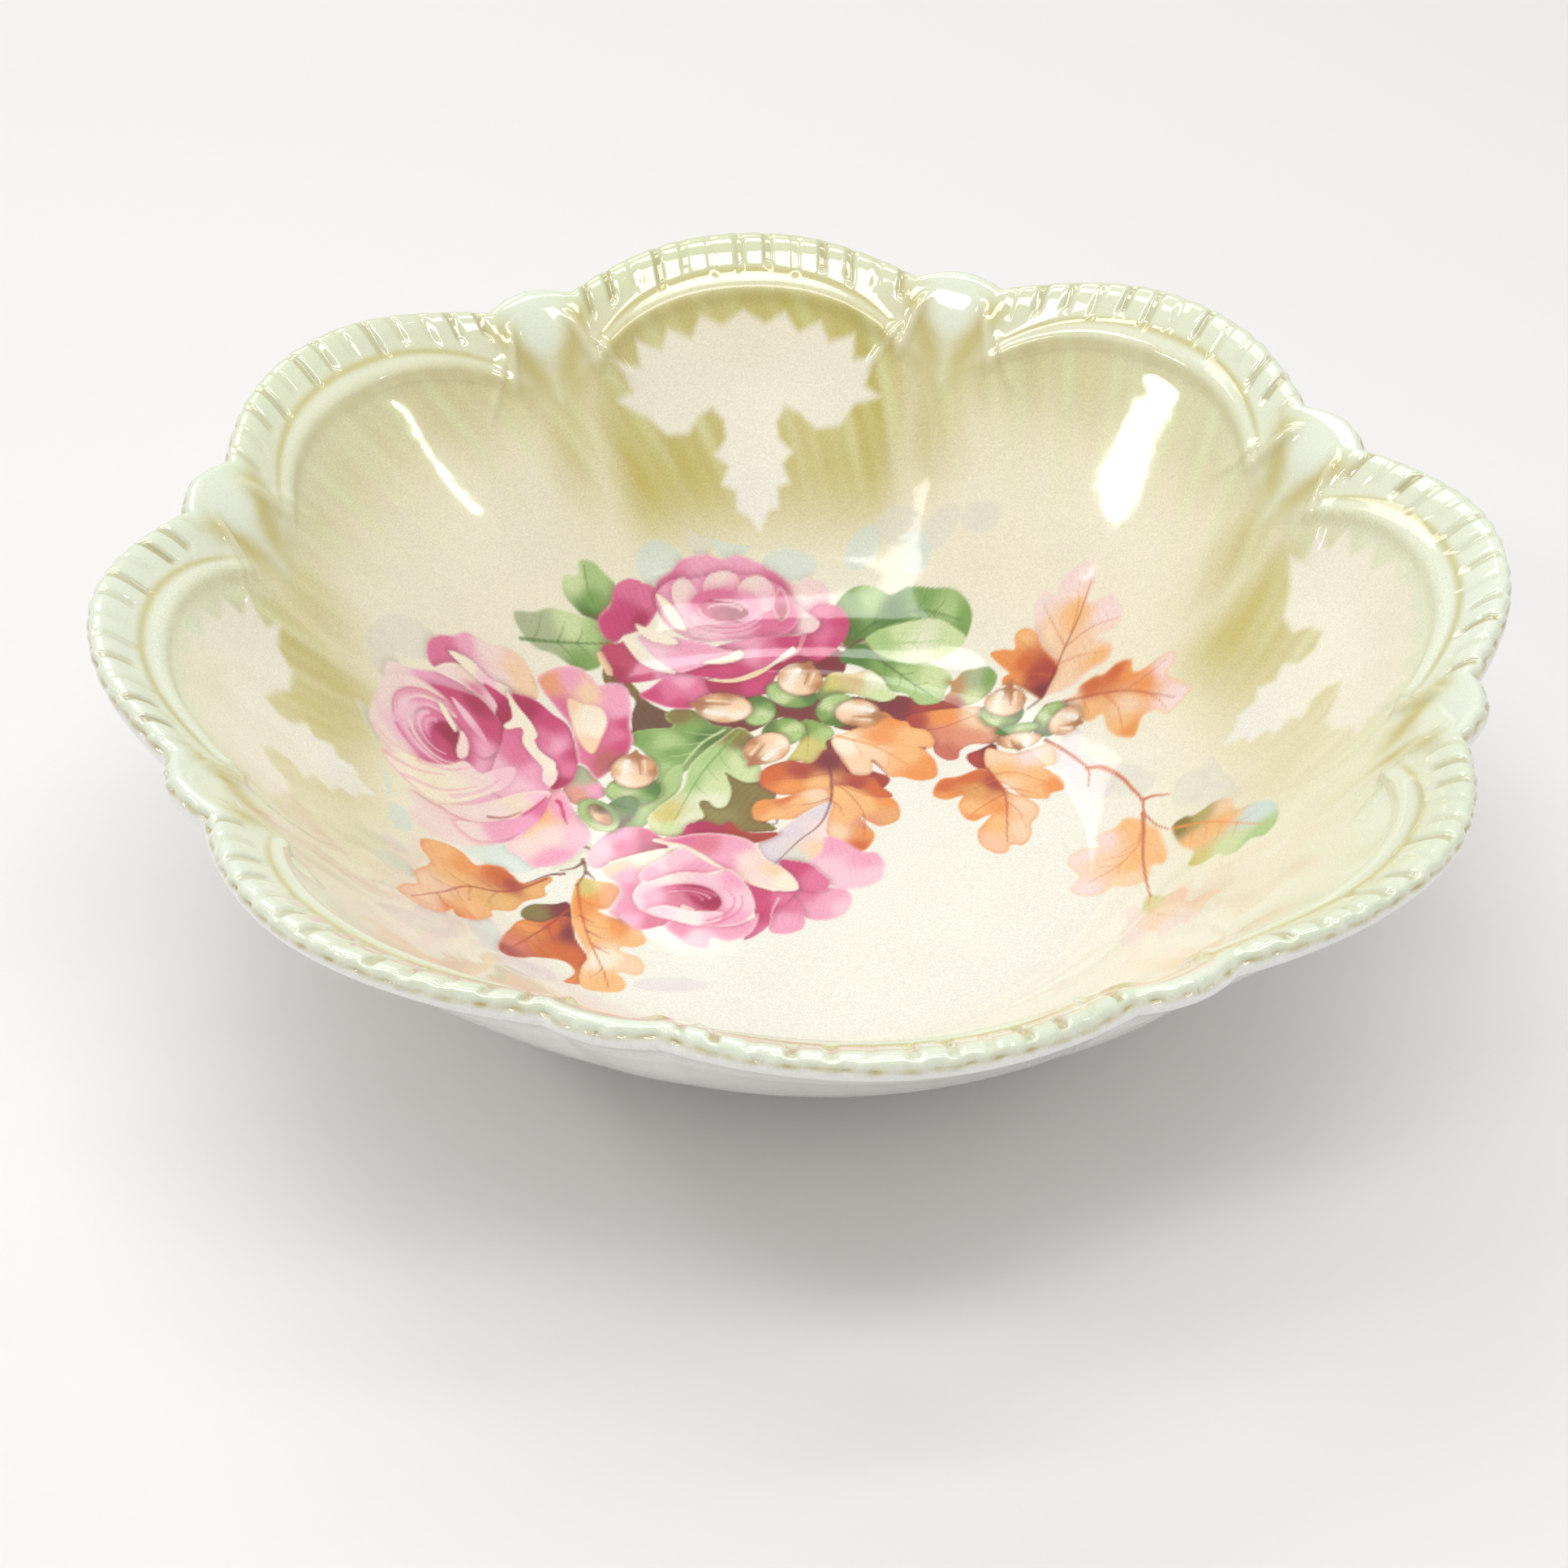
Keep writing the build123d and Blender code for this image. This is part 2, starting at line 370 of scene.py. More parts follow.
def lustre_mesh():
    """Thin pearly coat over the lip and the moulded border, down to the foot of the arched ridge."""
    degrees = np.arange(BORDER_SEGMENTS) * 360 / BORDER_SEGMENTS
    rings = border_rings()
    angle = np.tile(degrees, len(rings))
    depth = np.repeat(rings, BORDER_SEGMENTS)
    reach = (ridge_line(lobe_offset(angle)) + COAT_BEYOND_RIDGE) / BORDER_DEPTH
    depth = np.where(depth > 0, depth * reach, depth)
    normals = wall_normal(angle, depth)
    points = wall_point(angle, depth) + (COAT_LIFT + COAT_THICKNESS) * normals
    starts = range(0, (len(rings) - 1) * BORDER_SEGMENTS, BORDER_SEGMENTS)
    faces = np.vstack([ring_faces(start, BORDER_SEGMENTS, start + BORDER_SEGMENTS, BORDER_SEGMENTS)[0]
                       for start in starts])
    return thin_shell("lustre_border", points, normals, faces[:, ::-1], ground_colour(angle, depth),
                      COAT_THICKNESS, COAT_LIFT)


# ---- colours ----------------------------------------------------------------
def srgb(red, green, blue):
    """Linear colour from 0-255 screen values."""
    c = np.array([red, green, blue]) / 255
    return np.where(c <= 0.04045, c / 12.92, ((c + 0.055) / 1.055) ** 2.4)


def mix(a, b, share):
    """Colour that runs from a to b as the share runs from 0 to 1."""
    share = np.asarray(share, float)[..., None]
    return a * (1 - share) + b * share


WELL = srgb(243, 241, 229)
PORCELAIN = srgb(246, 245, 242)
BEIGE = srgb(243, 237, 213)
OLIVE = srgb(202, 188, 104)
GREEN_OLIVE = srgb(186, 182, 102)
GROOVE_OLIVE = srgb(178, 160, 92)
EDGE_GREEN = srgb(222, 232, 186)
EDGE_BEIGE = srgb(230, 226, 188)
EDGE_MINT = srgb(238, 246, 226)
LIP_MINT = srgb(240, 243, 226)
LIP_GOLD = srgb(190, 174, 108)
STENCIL_CREAM = srgb(248, 243, 226)
# painted sheen: pale peach and lime that stand for the shine of the pearl lustre
PEACH_SHEEN = srgb(248, 242, 216)
LIME_SHEEN = srgb(228, 241, 184)


def olive_spray(degrees, d):
    """Density of the sprayed olive: dense on every second lobe, thin under the ridge of the others, and
    thinner on the near and side lobes as painted sheen.
    """
    from_dense_lobe = np.abs((degrees + PITCH) % (2 * PITCH) - PITCH)
    uneven = 0.5 + 0.5 * np.sin(np.radians(degrees * 9) + 0.09 * d)
    # painted sheen: the olive fades on the near and side lobes
    near_sheen_fade = 0.35 + 0.65 * step(np.sin(np.radians(degrees)), 0.05, 0.5)
    dense = np.exp(-(np.maximum(from_dense_lobe - 15, 0) / 5) ** 2) * step(-d, -58, 26)
    dense = dense * (0.84 + 0.16 * uneven)
    thin = 0.8 * bump(np.maximum(d - 17, 0), 13)
    valley = 0.75 * bump(PITCH / 2 - np.abs(lobe_offset(degrees)), 4.2) * step(-d, -46, 34)
    return np.clip(np.maximum(np.maximum(dense, thin), valley), 0, 1) * step(d, 12.5, 4) * near_sheen_fade


def streaks(degrees, d, seed):
    """Soft streaks down the wall, 0 to 1: glaze runs in the olive spray, and the painted lustre sheen."""
    across = degrees * 0.9 + 2.2 * np.sin(np.radians(degrees * 4 + 40 * seed)) + 0.16 * d
    return (0.5 + 0.25 * np.sin(across + seed) + 0.25 * np.sin(2.3 * across + 2 * seed + 0.05 * d)) ** 2


def side_gap(offset, d):
    """Distance in mm from the olive pocket beside the leaf between two lobes."""
    return valley_side(offset) - np.interp(d, [4, 10, 16, 24], [9.0, 8.0, 5.5, 2.0])


def ground_colour(degrees, d):
    """Colour of the bowl at an angle and a distance inwards from the crest of the lip: its fired colour, with
    painted sheen in lustre streaks and on the near and side lobes.
    """
    offset = lobe_offset(degrees)
    wall = mix(WELL, BEIGE, step(-d, -80, 36))
    wall = mix(wall, mix(OLIVE, GREEN_OLIVE, 0.3 * streaks(degrees, d, 3.0)), olive_spray(degrees, d))
    # painted sheen: peach and lime streaks for the lustre's shine on the upper wall
    wall = mix(wall, PEACH_SHEEN, 0.30 * streaks(degrees, d, 1.0) * bump(d - 34, 18))
    wall = mix(wall, LIME_SHEEN, 0.45 * streaks(degrees, d, 5.0) * bump(d - 26, 16))
    # painted sheen: mint laid over the wall of the near and side lobes makes them paler than the far ones
    side_sheen = 1 - np.maximum(np.sin(np.radians(degrees)), 0) ** 2
    wall = mix(wall, EDGE_MINT, 0.7 * side_sheen * step(-d, -24, 18))
    wall = mix(wall, EDGE_MINT, 0.6 * step(-np.sin(np.radians(degrees)), 0.4, 1) * step(-d, -55, 50))
    green = 0.5 + 0.5 * np.sin(np.radians(degrees * 5) + 1.3 * np.sin(np.radians(degrees * 3)))
    border = mix(EDGE_BEIGE, EDGE_GREEN, step(-d, -8, 9) * (0.5 + 0.5 * green))
    # painted sheen: more mint on the border of the near and side lobes
    border = mix(border, EDGE_MINT, (0.2 + 0.8 * side_sheen) * (1 - 0.3 * green))
    groove = flutes(degrees, d)
    from_middle = np.abs(offset) / LOBE_HALF_ANGLE
    border = mix(border, GROOVE_OLIVE, 0.9 * groove ** 1.5 * (0.45 + 0.55 * from_middle))
    border = mix(border, OLIVE, 0.7 * bump(d - ridge_line(offset) + 3.4, 0.8) * on_lobe(offset, 8))
    inside = mix(wall, border, step(-d, 1.2 - ridge_line(offset), 3.5))
    inside = mix(inside, OLIVE, 0.8 * bump(side_gap(offset, d), 3.2) * step(d, 6, 5) * step(-d, -24, 10))
    inside = mix(inside, EDGE_MINT, 0.9 * np.clip(1.6 * tongue(offset, d) - 0.25, 0, 1))
    inside = mix(inside, EDGE_BEIGE, 0.8 * np.clip(1.6 * side_leaves(offset, d) - 0.4, 0, 1))
    lip = mix(inside, LIP_MINT, step(-d, -0.4, 2.0))
    flecks = 0.3 + 0.5 * beads(degrees) ** 2 + 0.3 * flute_wave(offset)
    lip = mix(lip, LIP_GOLD, flecks * bump(d + 0.8 + 0.5 * np.sin(np.radians(degrees * 31)), 1.0))
    return mix(lip, PORCELAIN, step(-d, 1.4, 1.6))


# ---- printed colours --------------------------------------------------------
FILM_MARGIN = 0.7            # clear film beyond the ink

DEEP_ROSE = srgb(178, 58, 92)
MAGENTA = srgb(206, 78, 122)
ROSE = srgb(226, 120, 158)
PINK = srgb(243, 168, 196)
BLUSH = srgb(248, 202, 216)
SHELL = srgb(247, 222, 216)
CREAM = srgb(250, 238, 216)
PEACH = srgb(248, 212, 176)
APRICOT = srgb(247, 190, 128)
ORANGE = srgb(238, 152, 84)
RUST = srgb(212, 106, 58)
BRICK = srgb(176, 74, 62)
MAROON = srgb(128, 56, 62)
BROWN = srgb(112, 84, 66)
OLIVE_BROWN = srgb(138, 122, 72)
DEEP_GREEN = srgb(92, 128, 66)
LEAF_GREEN = srgb(132, 168, 92)
SOFT_GREEN = srgb(176, 204, 136)
PALE_GREEN = srgb(212, 226, 170)
YELLOW_GREEN = srgb(214, 200, 122)
SAGE = srgb(176, 186, 148)
LAVENDER = srgb(226, 214, 222)
MIST = srgb(222, 220, 208)
BLUE_MIST = srgb(208, 226, 222)
IVORY_GREEN = srgb(232, 236, 206)
NUT_TAN = srgb(226, 176, 132)
NUT_BROWN = srgb(178, 120, 82)
TERRACOTTA = srgb(226, 150, 120)


def smooth_curve(points, closed, per_span=7):
    """Points along a smooth curve through the given ones."""
    p = np.array(points, float)
    if closed:
        p = np.vstack([p[-1:], p, p[:2]])
    else:
        p = np.vstack([2 * p[:1] - p[1:2], p, 2 * p[-1:] - p[-2:-1]])
    before, start, end, after = p[:-3, None], p[1:-2, None], p[2:-1, None], p[3:, None]
    t = np.linspace(0, 1, per_span, endpoint=False)[None, :, None]
    curve = start + 0.5 * t * (end - before + t * (2 * before - 5 * start + 4 * end - after
                                                   + t * (3 * (start - end) + after - before)))
    curve = curve.reshape(-1, 2)
    return curve if closed else np.vstack([curve, p[-2:-1]])


def distance_to(curve, x, y, closed):
    """Distance from points to a curve, and how far along it, 0 to 1, the nearest place is."""
    a = curve
    b = np.roll(curve, -1, axis=0)
    if not closed:
        a, b = curve[:-1], curve[1:]
    run = b - a
    to_x, to_y = x[:, None] - a[:, 0], y[:, None] - a[:, 1]
    share = np.clip((to_x * run[:, 0] + to_y * run[:, 1]) / np.maximum((run ** 2).sum(1), 1e-12), 0, 1)
    gap = (to_x - share * run[:, 0]) ** 2 + (to_y - share * run[:, 1]) ** 2
    nearest = gap.argmin(1)
    rows = np.arange(len(x))
    return np.sqrt(gap[rows, nearest]), (nearest + share[rows, nearest]) / len(a)


def depth_inside(curve, x, y):
    """Distance to a closed curve, positive inside it."""
    a, b = curve, np.roll(curve, -1, axis=0)
    spans = (a[:, 1] > y[:, None]) != (b[:, 1] > y[:, None])
    rise = np.where(b[:, 1] == a[:, 1], 1e-12, b[:, 1] - a[:, 1])
    cross = a[:, 0] + (y[:, None] - a[:, 1]) / rise * (b[:, 0] - a[:, 0])
    inside = (spans & (x[:, None] < cross)).sum(1) % 2 == 1
    distance = distance_to(curve, x, y, True)[0]
    return np.where(inside, distance, -distance)


def brush(along, across):
    """Fine uneven streaks of a brush, about -1 to 1."""
    broad = np.sin(4.3 * across + 1.4 * np.sin(0.6 * along))
    middling = np.sin(9.1 * across + 2.0 * np.sin(0.8 * along + 1))
    fine = np.sin(15.7 * across + 2.6 * np.sin(1.1 * along + 2))
    return (broad + middling + 0.7 * fine) / 2.7


def ellipse(centre, radii, turn, degrees):
    """Points of an ellipse turned by some degrees, at angles in degrees."""
    angle = np.radians(degrees)
    c, s = cos(radians(turn)), sin(radians(turn))
    u, v = radii[0] * np.cos(angle), radii[1] * np.sin(angle)
    return np.stack([centre[0] + c * u - s * v, centre[1] + s * u + c * v], -1)


class Print:
    """Colours fired on a set of points: the colour, the amount of ink and the film that it belongs to."""

    def __init__(self, x, y, ground):
        """Bare points at x, y in the colours of the ground."""
        self.x, self.y = x, y
        self.colour = ground.copy()
        self.ink = np.zeros(len(x))
        self.film = np.full(len(x), -1)
        self.films = []

    def start(self, name):
        """What is laid from now on belongs to this film."""
        if name not in self.films:
            self.films.append(name)
        self.current = self.films.index(name)

    def near(self, curve, reach):
        """Numbers of the points in the box round a curve."""
        low, high = curve.min(0) - reach, curve.max(0) + reach
        return np.flatnonzero((self.x > low[0]) & (self.x < high[0]) & (self.y > low[1]) & (self.y < high[1]))

    def put(self, at, colour, cover, depth):
        """Lay a colour on some points; depth is how far inside its edge each one lies."""
        self.colour[at] = mix(self.colour[at], colour, cover)
        self.ink[at] = np.maximum(self.ink[at], cover)
        owned = (depth > 0) | ((depth > -FILM_MARGIN) & (self.film[at] < 0))
        self.film[at[owned]] = self.current

    def shape(self, outline, spots, edge=None, edge_width=0.7, shadow=0.35, soft=0.4, strength=1.0,
              streak=0.05, dark=MAROON, per_span=7):
        """Closed shape whose colour runs between spots (x, y, colour), with an edge line and a shadow."""
        curve = smooth_curve(outline, True, per_span)
        at = self.near(curve, 2.0)
        x, y = self.x[at], self.y[at]
        depth = depth_inside(curve, x, y)
        cast = shadow * np.exp(-(np.minimum(depth, 0) / 0.9) ** 2) * self.ink[at] * (depth < 0)
        self.colour[at] = mix(self.colour[at], dark, cast)
        weights = np.stack([1 / ((x - sx) ** 2 + (y - sy) ** 2 + 1.5) ** 1.8 for sx, sy, _ in spots], -1)
        weights /= weights.sum(1)[:, None]
        painted = weights @ np.array([colour for _, _, colour in spots])
        first, last = np.array(spots[0][:2]), np.array(spots[-1][:2])
        way = (last - first) / max(np.linalg.norm(last - first), 1e-6)
        along, across = x * way[0] + y * way[1], y * way[0] - x * way[1]
        painted = painted * (1 + streak * brush(along, across))[:, None]
        if edge is not None:
            painted = mix(painted, edge, 0.65 * np.exp(-(np.maximum(depth, 0) / edge_width) ** 2))
        self.put(at, painted, strength * step(depth, 0, soft), depth)

    def line(self, points, width, colour, strength=1.0, taper=True):
        """Brush line, thinner towards its end."""
        curve = smooth_curve(points, False)
        at = self.near(curve, 1.5)
        distance, share = distance_to(curve, self.x[at], self.y[at], False)
        half = width / 2 * (1 - 0.7 * share if taper else 1)
        self.put(at, colour, strength * step(half - distance, 0, 0.35), half - distance)

    def arc(self, centre, radii, start, end, width, colour, strength=1.0, turn=0):
        """Brush line along part of an ellipse, angles in degrees."""
        self.line(ellipse(centre, radii, turn, np.linspace(start, end, 9)), width, colour, strength)

    def oval(self, centre, radii, turn, spots, **options):
        """Ellipse turned by some degrees."""
        self.shape(ellipse(centre, radii, turn, np.arange(0, 360, 30)), spots, **options)

    def leaf(self, outline, midrib, spots, vein, veins=5, reach=6.0, edge=None, strength=1.0, **options):
        """Leaf with a midrib and side veins that lean forward."""
        self.shape(outline, spots, edge=edge, strength=strength, **options)
        outer = smooth_curve(outline, True)
        rib = smooth_curve(midrib, False)
        for k in range(veins):
            place = (k + 0.8) / (veins + 1)
            i = min(int(place * (len(rib) - 1)), len(rib) - 2)
            way = (rib[i + 1] - rib[i]) / max(np.linalg.norm(rib[i + 1] - rib[i]), 1e-9)
            for side in (-1, 1):
                out = way * 0.75 + side * np.array([-way[1], way[0]])
                tip = rib[i] + out * reach * (1 - 0.5 * place) * 0.8
                middle = rib[i] + out * reach * 0.4 * (1 - 0.5 * place) + way * 0.4
                if depth_inside(outer, tip[:1], tip[1:])[0] > 0.3:
                    self.line([rib[i], middle, tip], 0.45, vein, 0.5 * strength)
        self.line(midrib, 0.75, vein, 0.8 * strength)

    def acorn(self, cup, cup_radii, nut, nut_radii):
        """Green cup and a shining nut that points away from it; radii are across and along the acorn."""
        turn = np.degrees(np.arctan2(nut[1] - cup[1], nut[0] - cup[0])) - 90
        c, s = cos(radians(turn)), sin(radians(turn))

        def place(centre, u, v):
            """Place at u across and v along the acorn."""
            return centre[0] + c * u - s * v, centre[1] + s * u + c * v

        a, b = cup_radii
        self.oval(cup, cup_radii, turn,
                  [(*place(cup, -0.7 * a, 0), SOFT_GREEN), (*place(cup, -0.2 * a, -0.5 * b), PALE_GREEN),
                   (*place(cup, 0.3 * a, -0.7 * b), LEAF_GREEN), (*place(cup, 0.8 * a, 0), DEEP_GREEN)],
                  edge=DEEP_GREEN, edge_width=0.5, dark=BROWN, shadow=0.55, soft=0.4)
        for k in range(3):
            self.arc(cup, (a * (0.9 - 0.2 * k), b * (0.8 - 0.18 * k)), turn + 200, turn + 330, 0.35,
                     DEEP_GREEN, 0.35)
        a, b = nut_radii
        outline = [place(nut, a * u, b * v) for u, v in
                   ((-1, -0.1), (-0.88, 0.42), (-0.5, 0.84), (-0.12, 1.04), (0.06, 1.2), (0.24, 1.0),
                    (0.62, 0.8), (0.95, 0.35), (1, -0.15), (0.82, -0.6), (0.4, -0.9), (-0.15, -0.95),
                    (-0.7, -0.66))]
        self.shape(outline,
                   [(*place(nut, -0.85 * a, 0), NUT_TAN), (*place(nut, -0.4 * a, 0.1 * b), CREAM),
                    (*place(nut, -0.3 * a, -0.5 * b), CREAM), (*place(nut, 0.2 * a, -0.4 * b), PEACH),
                    (*place(nut, 0.55 * a, 0.2 * b), NUT_TAN), (*place(nut, 0.9 * a, 0), NUT_BROWN),
                    (*place(nut, 0.1 * a, 0.9 * b), NUT_BROWN)],
                   edge=NUT_BROWN, edge_width=0.45, shadow=0.5, soft=0.4, streak=0.03, dark=BROWN)
        self.line([place(nut, 0.06 * a, 1.1 * b), place(nut, 0.2 * a, 0.5 * b),
                   place(nut, 0.3 * a, -0.2 * b)], 1.1, NUT_BROWN, 0.75)
        self.line([place(nut, 0.42 * a, 0.6 * b), place(nut, 0.5 * a, -0.1 * b)], 0.8, CREAM, 0.6)
        self.line([place(nut, -0.3 * a, 0.55 * b), place(nut, -0.45 * a, -0.3 * b)], 1.5, WELL, 0.85)


# ---- the printed spray ------------------------------------------------------
def shadow_leaves(p):
    """Pale leaves that fade into the ground round the spray."""
    p.start("shadow_leaves")
    faint = {"shadow": 0, "soft": 0.9, "strength": 0.55}
    for centre, radii, turn, colour in (((-76, 45), (6.5, 4.0), 30, MIST),
                                        ((-81, 38), (3.0, 5.5), 10, MIST), ((-86, 18), (3.6, 5.6), 0, MIST),
                                        ((-85.5, 6), (5.0, 7.0), 12, BLUE_MIST),
                                        ((-79, -2), (2.4, 4.0), 0, BLUE_MIST),
                                        ((-22, 77), (5.2, 4.2), 10, BLUE_MIST),
                                        ((-13, 82), (2.8, 3.0), 0, MIST),
                                        ((-6, 82.5), (4.6, 3.4), 8, BLUE_MIST),
                                        ((6, 77.5), (6.0, 2.6), -8, BLUE_MIST),
                                        ((60, 13), (3.4, 8.0), 20, LAVENDER),
                                        ((66, 8), (3.4, 7.5), 35, MIST),
                                        ((57, 22), (5.5, 2.6), 60, LAVENDER),
                                        ((76, -5), (3.4, 4.6), 0, MIST), ((81, -7), (2.8, 6.4), 10, MIST),
                                        ((79, -12), (6.4, 2.6), -60, MIST),
                                        ((86, -13), (2.8, 2.0), 0, MIST), ((-80, -12), (2.4, 2.2), 0, MIST),
                                        ((-80, -19), (3.6, 3.8), 0, MIST),
                                        ((-72, -34), (4.4, 6.4), -20, MIST),
                                        ((-64, -28), (3.0, 8.0), 8, BLUE_MIST),
                                        ((-57, -38), (6.0, 3.6), 10, LAVENDER),
                                        ((-76, -41), (6.0, 3.6), 20, MIST),
                                        ((-30, -38.5), (7.0, 2.2), -4, LAVENDER),
                                        ((-60, 0), (8.0, 4.0), -6, BLUE_MIST),
                                        ((-46, 1), (4.5, 6.0), -20, IVORY_GREEN),
                                        ((22, 78), (4.4, 3.0), 30, BLUE_MIST),
                                        ((30, 80), (5.0, 3.2), -10, MIST), ((38, 77), (5.2, 2.8), 20, MIST),
                                        ((47, 76), (4.4, 2.6), -20, MIST),
                                        ((33, 74.5), (3.0, 3.6), 0, BLUE_MIST)):
        p.oval(centre, radii, turn, [(*centre, colour)], **faint)


def dark_ground(p):
    """Deep shade between the flowers and the leaves."""
    p.start("leaf_shade")
    p.shape([(-35, 57), (-30, 53.5), (-26, 48), (-18, 44), (-5, 50), (0, 47.5), (10, 47), (13, 41), (4, 39),
             (0, 42), (-6, 38), (-14, 36), (-20, 37), (-30, 37), (-31, 44), (-30, 50), (-36, 53)],
            [(-27, 44, BROWN), (-10, 43, MAROON), (6, 43, MAROON), (-33, 55, OLIVE_BROWN)], streak=0.12)
    p.shape([(9, 61), (13, 61.5), (16, 59.5), (15, 55), (10, 54.5)], [(12, 58, MAROON)], streak=0.12)
    p.shape([(14, 47), (20, 46.5), (26, 46.5), (33, 43.5), (38, 44), (37, 40), (30, 38), (26, 35), (14, 36),
             (10, 40)],
            [(24, 44, MAROON), (33, 42, BRICK), (14, 38, MAROON)], streak=0.12)
    p.shape([(-14, 25), (-10, 22), (-4, 20), (-4, 15), (-7, 9), (-5, 5), (-12, 5), (-20, 8), (-20, 15)],
            [(-12, 16, OLIVE_BROWN), (-8, 10, OLIVE_BROWN), (-16, 10, srgb(150, 140, 90))], streak=0.12)
    p.shape([(7, 31), (12, 34), (13, 25), (20, 19), (14, 14), (6, 20)], [(9, 26, MAROON), (14, 18, BRICK)],
            streak=0.1)


def green_leaves(p):
    """Green rose leaves beside the upper rose and the pale oak leaves in the middle."""
    p.start("green_leaves")
    p.shape([(-43.3, 68), (-43, 71), (-40, 72), (-39.5, 74.5), (-36.5, 75), (-34, 73.5), (-32, 72),
             (-33, 69), (-35.5, 66.5), (-36, 65), (-39, 65), (-41, 66)],
            [(-41, 71, PALE_GREEN), (-36, 73, SOFT_GREEN), (-37, 68, LEAF_GREEN), (-38, 65.5, DEEP_GREEN)],
            soft=0.6)
    p.line([(-38.5, 74), (-38, 70), (-36, 66)], 0.5, DEEP_GREEN, 0.6)
    p.leaf([(-54, 61), (-50, 62.5), (-46, 64.5), (-40, 65), (-36, 64.5), (-33, 61), (-35, 59), (-37, 56),
            (-41, 54.5), (-46, 56), (-50, 56), (-53, 58)],
           [(-53, 56.5), (-44, 59), (-34, 61.5)],
           [(-50, 61, SAGE), (-42, 63, PALE_GREEN), (-37, 62, SOFT_GREEN), (-48, 57, SAGE),
            (-40, 56, LEAF_GREEN)], DEEP_GREEN, veins=3, soft=0.7)
    p.shape([(-37, 59), (-34, 59), (-33.6, 56), (-34.6, 54.6), (-36, 56)], [(-35, 57, PEACH)], shadow=0.2)
    # beside the upper rose, on the right
    p.leaf([(13, 66), (16, 70.5), (20, 72), (24, 71), (27, 69), (31, 69.3), (36, 67.5), (40, 66),
            (42.5, 63), (43.2, 59.5), (41, 56), (38, 57), (34, 60), (28, 61), (22, 62), (17, 61), (15, 63)],
           [(17, 62), (24, 65), (33, 64.5), (41, 60)],
           [(18, 69, LEAF_GREEN), (23, 70, SOFT_GREEN), (27, 66, DEEP_GREEN), (33, 66.5, LEAF_GREEN),
            (38, 62, SOFT_GREEN), (42, 60, LEAF_GREEN), (17, 65, DEEP_GREEN)], DEEP_GREEN, veins=5,
           reach=4.5)
    p.leaf([(15, 58), (19, 56), (23, 52), (24, 48.5), (27.5, 46.5), (29.5, 43.3), (32, 42.8), (34.5, 43.5),
            (36, 46.5), (37.5, 49), (35, 52.5), (30, 56), (25, 60), (19, 61.5), (16, 60.5)],
           [(18, 60.5), (24, 56), (29, 50), (33, 45)],
           [(19, 59, DEEP_GREEN), (24, 55, LEAF_GREEN), (28, 52, SOFT_GREEN), (34, 50, PALE_GREEN),
            (31, 45, SOFT_GREEN)], DEEP_GREEN, veins=4, reach=5)
    p.leaf([(20.5, 61.5), (24, 63.3), (30, 63.3), (36, 62), (40, 58.5), (41.5, 56.2), (39.5, 54.8),
            (35, 54), (29, 54.8), (24, 57.5)],
           [(21, 61), (28, 59.5), (37, 57.5)],
           [(24, 61, SOFT_GREEN), (29, 62, PALE_GREEN), (32, 58, IVORY_GREEN), (38, 56.5, PALE_GREEN)],
           SOFT_GREEN, veins=3, reach=4, dark=DEEP_GREEN)
    p.line([(14.5, 62), (17, 61), (20, 62), (22, 59), (26, 53.5)], 0.6, MAROON, 0.7)
    # left of the acorns
    p.leaf([(-32.3, 36.5), (-31, 39.5), (-27, 40.5), (-22.5, 41), (-24, 44.5), (-21.5, 46.7), (-17.5, 45.8),
            (-14, 41), (-10, 39), (-13, 35), (-17, 30), (-22, 25), (-26, 20), (-29, 19), (-27, 27),
            (-30, 34)],
           [(-12, 39), (-17, 35), (-21, 29), (-25, 22)],
           [(-30, 37.5, LEAF_GREEN), (-21, 44, OLIVE_BROWN), (-19, 40, LEAF_GREEN), (-24, 36, SOFT_GREEN),
            (-23, 32, LEAF_GREEN), (-25, 26, SOFT_GREEN), (-16, 37, DEEP_GREEN)], PALE_GREEN, veins=4,
           reach=7, edge=SOFT_GREEN, edge_width=0.35, dark=BROWN)
    p.shape([(-38, 9), (-40, 12), (-36, 18), (-28, 20), (-25, 26), (-22, 28), (-23, 20), (-28, 14),
             (-30, 10), (-33, 8)],
            [(-38, 10, LEAF_GREEN), (-30, 16, SOFT_GREEN), (-25, 22, SOFT_GREEN)], dark=DEEP_GREEN)
